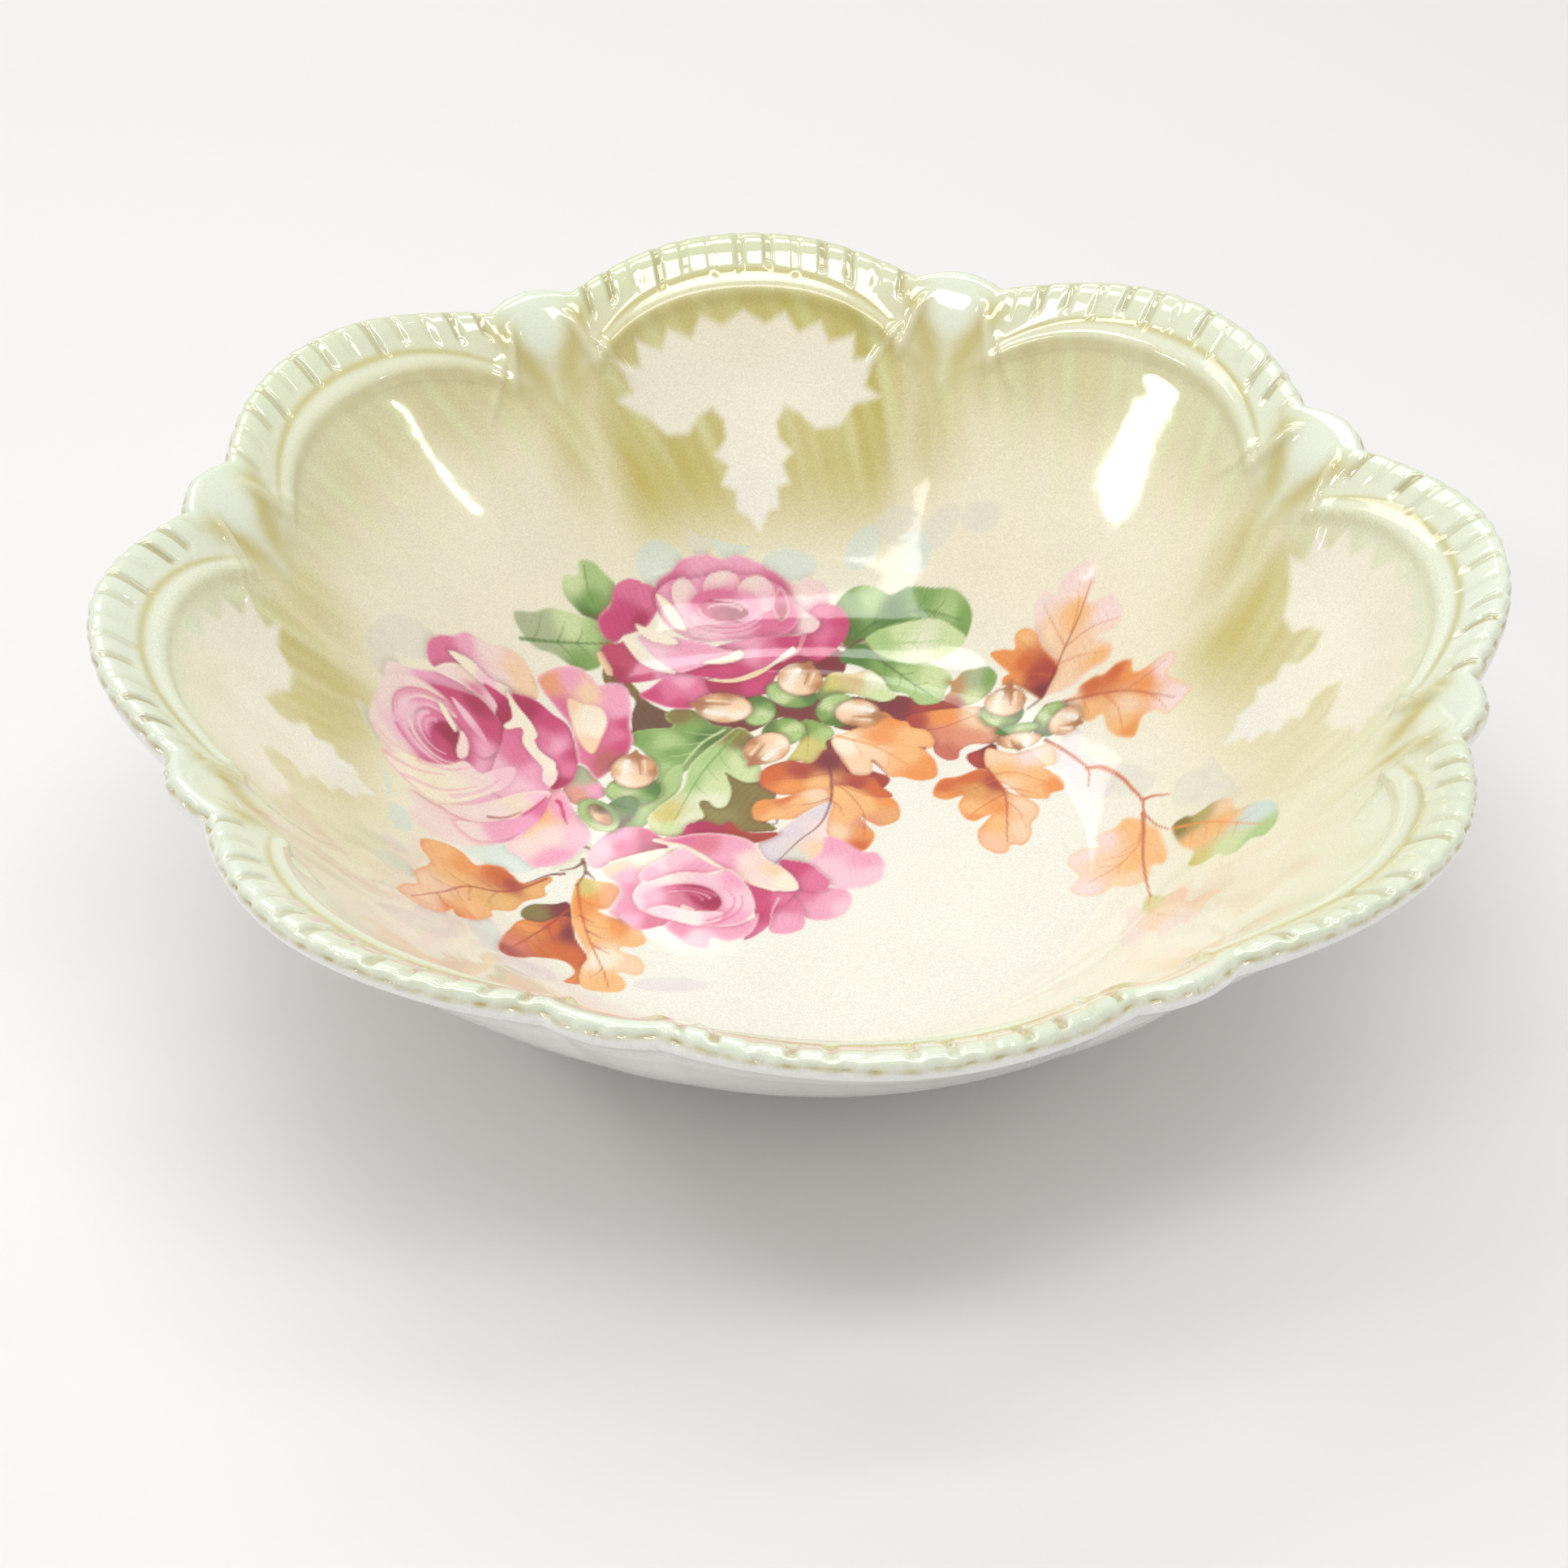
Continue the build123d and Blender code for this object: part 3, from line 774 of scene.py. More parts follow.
    # large pale oak leaf in the middle
    p.leaf([(-9, 39.5), (-13, 36), (-17, 32), (-20.5, 27), (-22.5, 20), (-28, 14.5), (-30.3, 11),
            (-29.5, 6.5), (-26, 5), (-23, 6), (-21, 9), (-19, 10.5), (-19.6, 15), (-18, 15.5), (-16, 13),
            (-14, 14), (-12.7, 18), (-13, 22), (-13.3, 24.5), (-11.5, 22.5), (-9, 20.7), (-5, 21.5),
            (-6, 26), (-4.5, 31), (-6, 36)],
           [(-9, 38), (-14, 31), (-19, 23), (-25, 10)],
           [(-9, 35, OLIVE_BROWN), (-15, 30, SOFT_GREEN), (-9, 28, PALE_GREEN), (-20, 22, SOFT_GREEN),
            (-16, 20, PALE_GREEN), (-17, 16, IVORY_GREEN), (-26, 12, YELLOW_GREEN), (-26, 7, PALE_GREEN),
            (-22, 9, IVORY_GREEN)], LEAF_GREEN, veins=4, reach=8, edge=PALE_GREEN, edge_width=0.4,
           dark=BROWN)
    p.shape([(-4, 21), (-1, 26), (3, 33), (4, 40), (7, 40.3), (10, 38), (10.6, 35), (8.5, 32.5), (8.3, 29),
             (6.5, 26), (4, 25.4), (1, 26.5)],
            [(6, 38, LEAF_GREEN), (9, 36, SOFT_GREEN), (4, 32, YELLOW_GREEN), (5, 27, YELLOW_GREEN)],
            dark=BROWN)
    p.line([(5, 39), (5, 34), (4, 28)], 0.4, DEEP_GREEN, 0.5)
    p.shape([(8.5, 48), (10.5, 53), (13, 55.4), (17, 54.6), (20.5, 55), (23, 52), (24, 49), (25.3, 46.5),
             (22.5, 45), (19, 46.5), (15, 48.5), (11, 46)],
            [(12, 52, YELLOW_GREEN), (17, 52, srgb(214, 190, 138)), (22, 52, IVORY_GREEN),
             (22, 47, PALE_GREEN), (11, 48, LEAF_GREEN)], dark=BROWN)
    p.shape([(35, 44), (37, 46.3), (36.3, 48.5), (38, 48.3), (40, 49.6), (43, 49.3), (45.3, 48.6),
             (46.6, 46), (45.3, 43.6), (43, 42), (40, 41), (36, 41)],
            [(38, 47, srgb(196, 150, 104)), (42, 47, SAGE), (45, 46, LEAF_GREEN), (41, 43, PALE_GREEN),
             (37, 42, BRICK)], dark=BROWN)


def oak_leaves_middle(p):
    """Autumn leaves below and right of the acorns."""
    p.start("oak_leaves_middle")
    p.shape([(25, 36), (27, 39.5), (31, 40.6), (36, 40.8), (42, 40), (45, 36), (46, 32), (43, 28.5),
             (38.5, 28.8), (35.8, 27), (35, 24.6), (32.5, 24.3), (30.5, 27), (30, 32)],
            [(28, 38, BRICK), (34, 38, ORANGE), (41, 37, PEACH), (33, 33, srgb(222, 142, 112)),
             (38, 31, TERRACOTTA), (33, 27, srgb(204, 112, 92))], edge=BRICK, edge_width=0.3)
    p.line([(27, 35), (33, 35), (41, 38)], 0.5, BRICK, 0.6)
    p.leaf([(9.8, 33.5), (13, 35.5), (17, 38), (19.5, 41.3), (22, 41.6), (24, 39), (26.3, 37.8), (27, 36),
            (30, 34.5), (31, 31), (30, 28.6), (28.6, 28.4), (30.2, 24), (29.6, 19), (26, 17.8),
            (22.5, 19.3), (20, 19.6), (19, 22.5), (17.3, 25.3), (16.3, 21), (13, 20.5), (11.5, 24),
            (10, 29)],
           [(11, 34.5), (18, 30.5), (23, 25), (27.5, 19)],
           [(12, 31, CREAM), (14, 24, PEACH), (18, 28, PEACH), (20, 33, ORANGE), (23, 39, ORANGE),
            (27, 33, APRICOT), (24, 26, APRICOT), (26, 20, ORANGE), (29, 23, ORANGE)], ORANGE, veins=4,
           reach=8, edge=ORANGE, edge_width=0.5)
    p.line([(17.3, 25.3), (18.6, 22.8), (19.6, 20)], 0.8, BRICK, 0.8)
    p.line([(28.6, 28.6), (27.4, 29.2)], 0.9, BRICK, 0.8)
    # centre leaf: dark upper lobes, golden middle, pale turned lower half
    p.shape([(-6.6, 21.5), (-5, 25), (0, 27), (3, 26), (5, 26), (8, 30), (10.5, 28), (11.5, 22), (14, 20.6),
             (16.5, 20), (18, 16.5), (19.7, 13.2), (15, 12), (9, 15), (3, 16), (-3, 16), (-6.2, 19)],
            [(-4, 23, RUST), (2, 23, BRICK), (8, 26, MAROON), (0, 18.5, ORANGE), (5, 18.5, APRICOT),
             (13, 18, BRICK), (17, 16, RUST), (12, 14, APRICOT)], edge=BRICK, edge_width=0.35)
    p.shape([(-9, 9), (-9, 12.3), (-7, 14.6), (-3, 14.8), (0, 16), (5, 17.5), (7.5, 15), (7, 11), (3, 9),
             (-2, 8), (-5, 8.3), (-7, 7.8)],
            [(-7.5, 12, ORANGE), (-5, 9, APRICOT), (0, 13, APRICOT), (4, 15, PEACH), (-2, 15, RUST)],
            edge=ORANGE, edge_width=0.5, shadow=0.15)
    p.shape([(7.5, 17), (11, 17.5), (14, 15), (17, 13), (19.6, 12.6), (20.6, 9), (19.6, 5.5), (16, 4),
             (13.8, 5.6), (12.3, 7.4), (13.4, 4.4), (14.4, 1.5), (13, -1.8), (11, -3.4), (8.5, -1.5),
             (5.8, 0.5), (4.8, 5), (6.5, 11)],
            [(9, 15, APRICOT), (14, 11, APRICOT), (18, 12, ORANGE), (18, 7, srgb(232, 170, 112)),
             (9, 8, APRICOT), (12.5, 2, ORANGE), (11, -2, RUST), (7, 3, PEACH), (13, 5, TERRACOTTA)],
            edge=ORANGE, edge_width=0.5, shadow=0.2)
    p.shape([(7.2, 12.6), (3, 11), (-2, 7), (-6, 3), (-9, 1), (-8.2, -3.6), (-6, -6), (-2, -6.2), (1, -5),
             (3.4, -2.6), (4.6, 2), (5.6, 7)],
            [(4, 10, LAVENDER), (-2, 4, LAVENDER), (-7, -2, LAVENDER), (-2, -4, MIST), (2, -2, PEACH),
             (4, 4, SHELL)], edge=SHELL, edge_width=0.4, shadow=0.15, streak=0.02)
    p.line([(8, 27), (8, 20), (7, 13), (4, 6), (-1, 1), (-6, -5)], 0.8, MAROON, 0.75)
    for vein in ([(7.2, 14), (3, 12.5), (-2, 12.2)], [(8, 19), (11, 15), (13, 8), (12, 0)],
                 [(7, 13), (8.5, 11), (9, 8)], [(8, 20), (12, 16), (17, 12.5)],
                 [(8, 22), (2, 21), (-4, 21)]):
        p.line(vein, 0.5, BRICK, 0.6)
    p.line([(-4.5, 8), (-5, 6.8), (-8, 7.6)], 0.6, MAROON, 0.7)


def oak_leaves_right(p):
    """Autumn leaves at the right end of the row of acorns."""
    p.start("oak_leaves_right")
    # upper leaf with dark lobes on its left
    p.shape([(55.3, 51.5), (55.3, 54), (56.3, 56.6), (58.3, 57.4), (60.3, 55.4), (61.5, 57.5), (65, 58.6),
             (68, 57.5), (68, 54), (66, 51), (68, 49.8), (70.5, 49.3), (71.6, 47), (72, 44), (70, 42.4),
             (66.5, 43.2), (68.8, 40.4), (69, 38.4), (67.5, 37), (64, 37.3), (60, 36.4), (56, 37), (54, 38),
             (56, 46)],
            [(57, 55, SHELL), (63, 56, SHELL), (58, 50, PEACH), (63, 50, APRICOT), (69, 46, SHELL),
             (66, 42, PEACH), (66, 39, APRICOT), (59, 38, PEACH)], soft=0.8, edge=SHELL, edge_width=0.6,
            dark=ORANGE, streak=0.04)
    p.shape([(45.9, 51.3), (48.5, 51), (50.9, 49.9), (51.2, 52.3), (53, 53), (55.3, 51), (56.2, 47.5),
             (57.8, 44.3), (58.6, 41.6), (56.5, 39), (54.5, 36.8), (52.6, 39), (50.3, 42), (47.4, 43.5),
             (47.8, 45.2), (49, 45.6), (47.2, 48.5)],
            [(47, 50.5, ORANGE), (50, 48.5, ORANGE), (53.5, 51.5, APRICOT), (52, 46.5, RUST),
             (54, 43, BRICK), (57, 42, BRICK), (49.5, 43.8, ORANGE), (54.8, 38.5, MAROON)], edge=ORANGE,
            edge_width=0.35, shadow=0.2)
    p.line([(51.5, 36), (54.5, 37.3), (57.5, 41), (60.5, 45), (63.5, 48.5), (67, 54)], 0.8, MAROON, 0.6)
    for vein in ([(57, 41), (54, 43), (48, 44.5)], [(58.7, 43), (55, 47), (52, 51)],
                 [(60.5, 45), (59, 50), (57.5, 55)], [(60.5, 45), (66, 45.5), (71, 44)],
                 [(58.5, 42.5), (63, 41.5), (68, 39)], [(62, 47), (64, 51), (65, 56)]):
        p.line(vein, 0.5, RUST, 0.45)
    # leaf that points to lower right
    p.shape([(57, 34), (61, 34.3), (62, 35.6), (65, 35.7), (66.7, 34.9), (69.5, 35.3), (72, 34), (72, 31.4),
             (74, 30.4), (77, 30.4), (79.6, 29.4), (79.2, 27), (77.5, 26), (79.5, 22), (81, 19), (79, 17.8),
             (76, 17), (74.6, 19.4), (72, 20.4), (70.5, 18), (69.4, 17.2), (67, 19.4), (65.4, 22.6),
             (65.1, 26.6), (62.4, 26.6), (60.4, 29.4), (58.6, 32)],
            [(60, 33, PEACH), (64, 34, RUST), (69, 34, RUST), (71.5, 32, ORANGE), (63, 29, APRICOT),
             (73, 27, ORANGE), (78, 28, SHELL), (68, 22, APRICOT), (69, 19, ORANGE), (77, 19, SHELL),
             (70, 25, PEACH)], soft=0.7, edge=APRICOT, edge_width=0.4, dark=RUST)
    p.line([(55, 35), (60, 33.6), (66, 31), (71, 27.5), (78, 19.5)], 0.7, BRICK, 0.7)
    for vein in ([(65, 31.4), (68, 33), (71, 34)], [(70, 28.4), (74, 28.5), (78, 29)],
                 [(66, 31), (68, 26), (68, 20)], [(62, 33), (62.5, 30), (63, 27.5)],
                 [(73, 25.4), (75, 22), (76, 18.5)]):
        p.line(vein, 0.45, RUST, 0.5)
    # lower leaf
    p.shape([(37, 23), (37, 25.6), (40, 27), (43, 28.3), (43.4, 25), (41.6, 21), (40.4, 19.6), (38.6, 20.6)],
            [(39, 24, BRICK), (42, 26, MAROON)])
    p.shape([(41.5, 27), (40.2, 22), (41.4, 17), (44, 14.2), (45.7, 11), (48, 9.8), (50.8, 9.2), (52, 10.8),
             (54.6, 11.5), (54.8, 14.5), (53, 17.6), (51.6, 19), (54, 19.6), (55, 22), (54, 25.5), (50, 25),
             (46, 24.6)],
            [(44, 25, PEACH), (50, 23, SHELL), (53, 21, PEACH), (44, 19, APRICOT), (50, 17, APRICOT),
             (53, 13, ORANGE), (48, 11.5, APRICOT), (43, 15, PEACH)], edge=ORANGE, edge_width=0.4)
    p.shape([(38.4, 20.7), (34, 18.7), (30.5, 18.1), (28.4, 15), (28.1, 12.4), (30.5, 11.2), (33.8, 12.2),
             (32.8, 10), (32.4, 8), (33.2, 5), (35, 4), (37.2, 5.2), (38.6, 5.6), (36.4, 2.6), (35, 0.4),
             (35, -3.6), (37.6, -6.4), (40, -6), (41, -4), (43.6, -4.2), (45.6, -1.4), (46.2, 2), (48, 4.4),
             (48.6, 7.4), (46.6, 10.2), (43.5, 12.8), (42, 17), (40.6, 20)],
            [(36, 18, RUST), (30, 15, RUST), (30, 12.5, ORANGE), (37, 14, srgb(222, 160, 92)),
             (35, 8, APRICOT), (35, 5, ORANGE), (41, 16, BRICK), (41, 8, ORANGE), (45, 8, PEACH),
             (44, 1, PEACH), (38, -3, srgb(248, 196, 160)), (40, 3, APRICOT)], edge=ORANGE, edge_width=0.5,
            shadow=0.2)
    p.line([(40.4, 20.5), (41.6, 16), (42.6, 11), (41.6, 4), (40.4, -3)], 0.8, BRICK, 0.7)
    for vein in ([(41.4, 17), (37, 14.6), (31, 12.6)], [(41.2, 18.6), (36, 18), (31, 16)],
                 [(42.4, 12), (38, 9), (34.6, 6)], [(41.6, 18.6), (46, 18.4), (52, 14)],
                 [(42.5, 14), (46, 13), (49, 11)], [(42.3, 10), (44.5, 6), (45, 1)]):
        p.line(vein, 0.5, RUST, 0.6)


def oak_twig(p):
    """Thin twig with three fading leaves on the far right."""
    p.start("oak_twig")
    p.leaf([(57.6, -5), (59.6, -3.9), (62, -4), (64, -2.5), (66, -4), (67.6, -7), (69, -11), (69, -15),
            (68.6, -20), (67.4, -22.2), (65.6, -20.6), (65, -22), (63.6, -24.6), (60, -23.6), (58, -21.8),
            (55, -22.8), (51.4, -21.6), (50, -19.4), (52.4, -15.6), (50.9, -12), (52, -9), (55, -7.4),
            (58, -8)],
           [(66, -9), (64.5, -12.4), (60.5, -15.6), (54, -18)],
           [(64, -4, APRICOT), (59, -6, SHELL), (66, -9, APRICOT), (54, -10, SHELL), (57, -13, PEACH),
            (52, -20, SHELL), (63, -17, APRICOT), (61, -22, PEACH), (67, -20, APRICOT)], ORANGE, veins=3,
           reach=7, soft=0.8, shadow=0, edge=PEACH)
    p.leaf([(71, -12.7), (73.4, -12), (75, -13.6), (78.6, -13.8), (81, -16.4), (80.9, -20.6), (84, -23),
            (85.9, -26.4), (85.8, -30.4), (84.6, -34), (82, -35.8), (80.2, -33.6), (77.4, -34.7),
            (75.6, -33), (75, -31), (72, -30.6), (70.5, -28), (72.2, -24.6), (71, -20)],
           [(71, -13), (76, -18), (79.4, -24), (83, -32)],
           [(72.6, -14, OLIVE_BROWN), (76, -15, srgb(186, 170, 110)), (80, -17, PEACH), (73, -22, APRICOT),
            (78, -21, APRICOT), (72, -28, YELLOW_GREEN), (77, -30, PALE_GREEN), (83, -26, BLUE_MIST),
            (82, -34, SOFT_GREEN)], ORANGE, veins=4, reach=7, soft=0.8, shadow=0)
    p.shape([(62.6, -30), (65, -33.6), (67.6, -34.4), (68.2, -37), (67, -41.6), (70.6, -43), (72, -46),
             (69, -47), (66.4, -51), (63, -49.6), (60, -51), (59.8, -45), (58.4, -40), (60.4, -35)],
            [(63, -34, YELLOW_GREEN), (67, -36, srgb(246, 196, 176)), (62, -40, PEACH), (69, -45, PEACH),
             (64, -47, SHELL)], soft=1.0, strength=0.7, shadow=0)
    p.shape([(57, -32), (60, -31), (60.4, -38), (58, -47), (55, -48.4), (54.6, -42), (57.4, -36)],
            [(58, -35, SHELL), (56, -45, srgb(246, 220, 216))], soft=1.0, strength=0.6, shadow=0)
    p.line([(63, -30), (61.8, -37), (65.6, -49)], 0.5, ORANGE, 0.4)
    for way in ([(53.6, 26.6), (56.6, 22.4), (59, 18), (60.2, 14.6), (59.4, 10.4)],
                [(60, 15.6), (63, 13.6), (65.6, 9), (66.8, 5), (68, 0), (67.6, -3.6), (68.8, -9),
                 (70.4, -12.6)], [(67.4, -3.6), (66.4, -9), (64.6, -17), (63.4, -26), (63, -31)],
                [(68.2, 0), (70, -0.6), (72.6, -3)]):
        p.line(way, 1.0, srgb(226, 138, 96), 0.95)
        p.line(way, 0.4, MAROON, 0.45)


def oak_sprig_left(p):
    """Three autumn leaves and their twig at the lower left."""
    p.start("oak_sprig_left")
    p.leaf([(-75, -4.6), (-71, -2), (-67.6, -2.3), (-65.2, -4.8), (-63, -3.4), (-60, -2.9), (-58, -4.8),
            (-56, -7), (-51, -5), (-50.4, -6.4), (-52, -8.4), (-52, -11), (-56, -12.8), (-58.6, -16.6),
            (-62.4, -18.4), (-62.6, -21), (-66, -25), (-69, -26.8), (-69.8, -24.8), (-70.6, -27),
            (-72.4, -30), (-76, -31.4), (-79.4, -30.2), (-78.6, -26), (-76, -22), (-76.6, -18),
            (-74, -12.4), (-73.8, -10), (-75.2, -8)],
           [(-51.4, -5.6), (-60, -10.8), (-67, -13.2), (-71.6, -20), (-77, -29)],
           [(-72, -5, APRICOT), (-67, -6, ORANGE), (-61, -6, RUST), (-58, -8, BRICK),
            (-54, -9, srgb(232, 180, 112)), (-60, -14, srgb(236, 184, 116)), (-70, -12, APRICOT),
            (-67, -20, APRICOT), (-75, -26, PEACH), (-73, -18, PEACH), (-69, -25, ORANGE)], BRICK, veins=5,
           reach=7, edge=ORANGE, edge_width=0.45)
    p.shape([(-56.6, -18.4), (-56.7, -15.6), (-54.4, -13.4), (-50.4, -13.4), (-47.6, -13), (-47.2, -18),
             (-50, -18.6), (-53, -19.4)],
            [(-54, -16, OLIVE_BROWN), (-49, -15, MAROON)], streak=0.08)
    p.leaf([(-57, -19), (-59.4, -23.6), (-61, -28), (-61.7, -33), (-60.4, -34.7), (-57.6, -33.8),
            (-55, -31.8), (-51, -30.8), (-48.6, -32), (-47.8, -35), (-50, -39.2), (-46.4, -38.6),
            (-44, -36), (-44.8, -30), (-46.8, -24), (-47.4, -18), (-50, -17.4), (-53, -19)],
           [(-47.6, -15), (-52, -20), (-56, -25), (-60, -32)],
           [(-55, -21, ORANGE), (-58, -27, srgb(222, 128, 96)), (-60, -33, BRICK), (-52, -28, RUST),
            (-48.4, -22, MAROON), (-49, -30, RUST), (-47, -37, ORANGE), (-51, -21, RUST)], BRICK, veins=4,
           reach=6, edge=RUST, edge_width=0.4)
    p.leaf([(-45, -5.6), (-42, -6.6), (-38.4, -8), (-36.4, -11), (-37, -14), (-40, -15.3), (-42, -15.6),
            (-40, -17.6), (-36.6, -19), (-34.2, -22.4), (-33.5, -25.4), (-35.4, -27), (-38.4, -26.8),
            (-38.4, -28.2), (-35.4, -30), (-34.4, -33), (-35.8, -35.4), (-39.6, -34.2), (-38.4, -37),
            (-39, -39.8), (-43, -40.6), (-46.8, -39.6), (-46.4, -33), (-45, -29), (-46.8, -22),
            (-47.3, -15), (-46.4, -9)],
           [(-45.6, -7.6), (-45.4, -15), (-44.4, -24), (-42.4, -33), (-41.6, -39)],
           [(-44, -8, YELLOW_GREEN), (-39, -11, ORANGE), (-45, -14, ORANGE), (-38, -21, ORANGE),
            (-35, -24, APRICOT), (-43, -21, APRICOT), (-45, -24, APRICOT), (-42, -30, CREAM),
            (-36, -32, PEACH), (-42, -37, APRICOT)], RUST, veins=4, reach=6, edge=APRICOT, edge_width=0.5)
    for y in (-17, -21.6, -26.4):
        p.line([(-45.8 - 0.25 * (y + 17), y), (-43 - 0.25 * (y + 17), y - 2.4)], 0.5, BRICK, 0.75)
    for way in ([(-44, 0), (-43.7, -3.6), (-45.6, -8)], [(-44, -1), (-46, -2.6), (-48.6, -3.1)],
                [(-43.5, -4), (-42, -6.4)], [(-48, -4.2), (-51, -4.6), (-55.4, -7)],
                [(-43.2, 3.8), (-42.4, 3), (-42.6, 1.4)]):
        p.line(way, 0.9, MAROON, 0.85)


def rose_left(p):
    """Large pale rose with long front petals and a petal turned over on its right."""
    p.start("rose_left")
    p.shape([(-43, 29.5), (-40, 26), (-38, 20.5), (-40, 18.5), (-44, 17), (-46.5, 20), (-46, 25)],
            [(-42, 26, SAGE), (-44, 20, srgb(226, 160, 140)), (-40, 21, PINK)])
    p.shape([(-77.5, 8), (-76, 5), (-77.5, 1), (-74, -1.5), (-68, -0.5), (-62, 3), (-57, 6.5), (-55, 10),
             (-60, 12.5), (-70, 11)],
            [(-75, 4, SHELL), (-70, 1, SHELL), (-66, 6, srgb(246, 200, 204)), (-58, 8, PINK)], soft=1.4,
            shadow=0)
    p.shape([(-59, 4), (-55, 9.5), (-50.4, 20), (-48.6, 23), (-46.6, 21.5), (-44.6, 15), (-42.2, 9),
             (-42, 6), (-44.2, 3), (-46, 0.6), (-49, -1.5), (-53.6, -2.2), (-56, 0.6)],
            [(-54, 10, PEACH), (-52, 14, APRICOT), (-50, 7, SHELL), (-55, 4, SHELL), (-49, 1, PINK),
             (-45, 7, BLUSH), (-47, 16, PINK), (-51, -1, PINK)], edge=BLUSH, edge_width=0.8)
    p.shape([(-48.6, 18.6), (-47.2, 18.3), (-46.6, 14), (-46.4, 10.8), (-47.4, 14), (-47.6, 16.6)],
            [(-47, 15, MAGENTA)], shadow=0)
    # petals behind the heart
    p.shape([(-71.5, 42), (-72.2, 46), (-70, 49), (-67, 50.6), (-64, 52.8), (-60, 52.6), (-56, 53.6),
             (-53, 53), (-51, 50.5), (-50.2, 46), (-54, 44), (-60, 44), (-65, 43)],
            [(-70.5, 45, ROSE), (-68, 48.5, ROSE), (-65, 50, PINK), (-60, 51, SHELL), (-62, 46, BLUSH),
             (-55, 49, PEACH), (-53, 46, PEACH), (-57, 47, SHELL)], soft=0.7)
    p.shape([(-80, 37), (-76, 38.4), (-71, 41), (-65, 43.5), (-60, 44), (-56, 42), (-57, 36), (-54, 30),
             (-50, 27), (-50, 20), (-55, 16), (-62, 12), (-70, 9), (-76, 9), (-80.6, 12), (-81.6, 16),
             (-84, 21), (-83, 27), (-81.4, 32)],
            [(-78, 35, SHELL), (-72, 39, PINK), (-82, 24, SHELL), (-80, 14, SHELL), (-62, 26, PINK),
             (-60, 20, BLUSH), (-74, 14, CREAM), (-54, 22, BLUSH)], soft=0.9, streak=0.03)
    p.shape([(-71, 41.4), (-68, 44.6), (-64, 45.6), (-60.4, 44), (-58.6, 41), (-59, 38.6), (-62, 40.4),
             (-66, 41.4)],
            [(-68, 43, SHELL), (-64, 44.6, CREAM), (-63, 41.6, ROSE), (-60, 41, BLUSH)], edge=CREAM,
            edge_width=0.6)
    p.shape([(-68, 47), (-64, 47.6), (-60, 45.6), (-56.4, 45.6), (-54.6, 43), (-55.4, 40.6), (-57, 42.6),
             (-61, 43.6), (-65, 45.2)],
            [(-65, 46.6, CREAM), (-60, 44.4, BLUSH), (-57, 44.6, CREAM), (-56, 42.6, PINK)])
    p.shape([(-61.4, 44), (-57, 43.4), (-55.2, 41), (-56, 38), (-57.6, 36.2), (-59.2, 38.6), (-59, 41)],
            [(-58, 40, DEEP_ROSE), (-60, 43, MAGENTA)], shadow=0)
    p.shape([(-72, 37.6), (-66, 39.8), (-62, 40.2), (-59.4, 38.4), (-57.4, 35.4), (-59.4, 30), (-63, 27),
             (-66, 32), (-69, 35.6)],
            [(-69, 37.6, MAGENTA), (-63, 38.6, DEEP_ROSE), (-61, 34, MAGENTA), (-62, 29, PINK),
             (-66, 34, ROSE)])
    p.shape([(-68, 37.4), (-65, 36), (-62, 33), (-61, 30), (-63, 31.6), (-66, 34.4)],
            [(-66, 35.6, BLUSH), (-62, 31.6, PINK)], shadow=0)
    p.shape([(-55.6, 44.6), (-51, 45.2), (-47.6, 43.2), (-44.4, 41), (-43.3, 36), (-43, 31), (-44, 26),
             (-46, 23), (-48.6, 22), (-49, 25), (-47.6, 30), (-51, 33.6), (-52, 38), (-54, 41.6)],
            [(-52.6, 43, DEEP_ROSE), (-48, 41, MAGENTA), (-47, 35, PINK), (-49.6, 36, ROSE),
             (-44.4, 33, MAGENTA), (-45.6, 28, ROSE), (-47, 24, DEEP_ROSE)], edge=MAGENTA, edge_width=0.5)
    p.shape([(-57.4, 36.4), (-54, 37.6), (-52.6, 33), (-50, 31), (-48, 28), (-49.4, 22.6), (-54, 19.4),
             (-58, 18), (-61.4, 20), (-60, 27), (-58.4, 32)],
            [(-56, 35, ROSE), (-55, 30, ROSE), (-52, 27, PINK), (-58, 24, BLUSH), (-54, 21, BLUSH),
             (-50.6, 24, PINK)], streak=0.06)
    p.shape([(-56.6, 44.4), (-54.6, 42.4), (-52.2, 39.8), (-51, 37), (-51.8, 35), (-51, 32.6), (-48.8, 31),
             (-47.5, 28), (-47.8, 25), (-49.2, 23), (-50.6, 25), (-50.4, 28.6), (-52.4, 31.4), (-54, 34),
             (-54, 37.6), (-57, 36.2), (-57.6, 37), (-55.8, 39.6)],
            [(-55, 40, CREAM), (-52.6, 36, CREAM), (-49.6, 29, CREAM), (-49, 25, SHELL)], shadow=0.25)
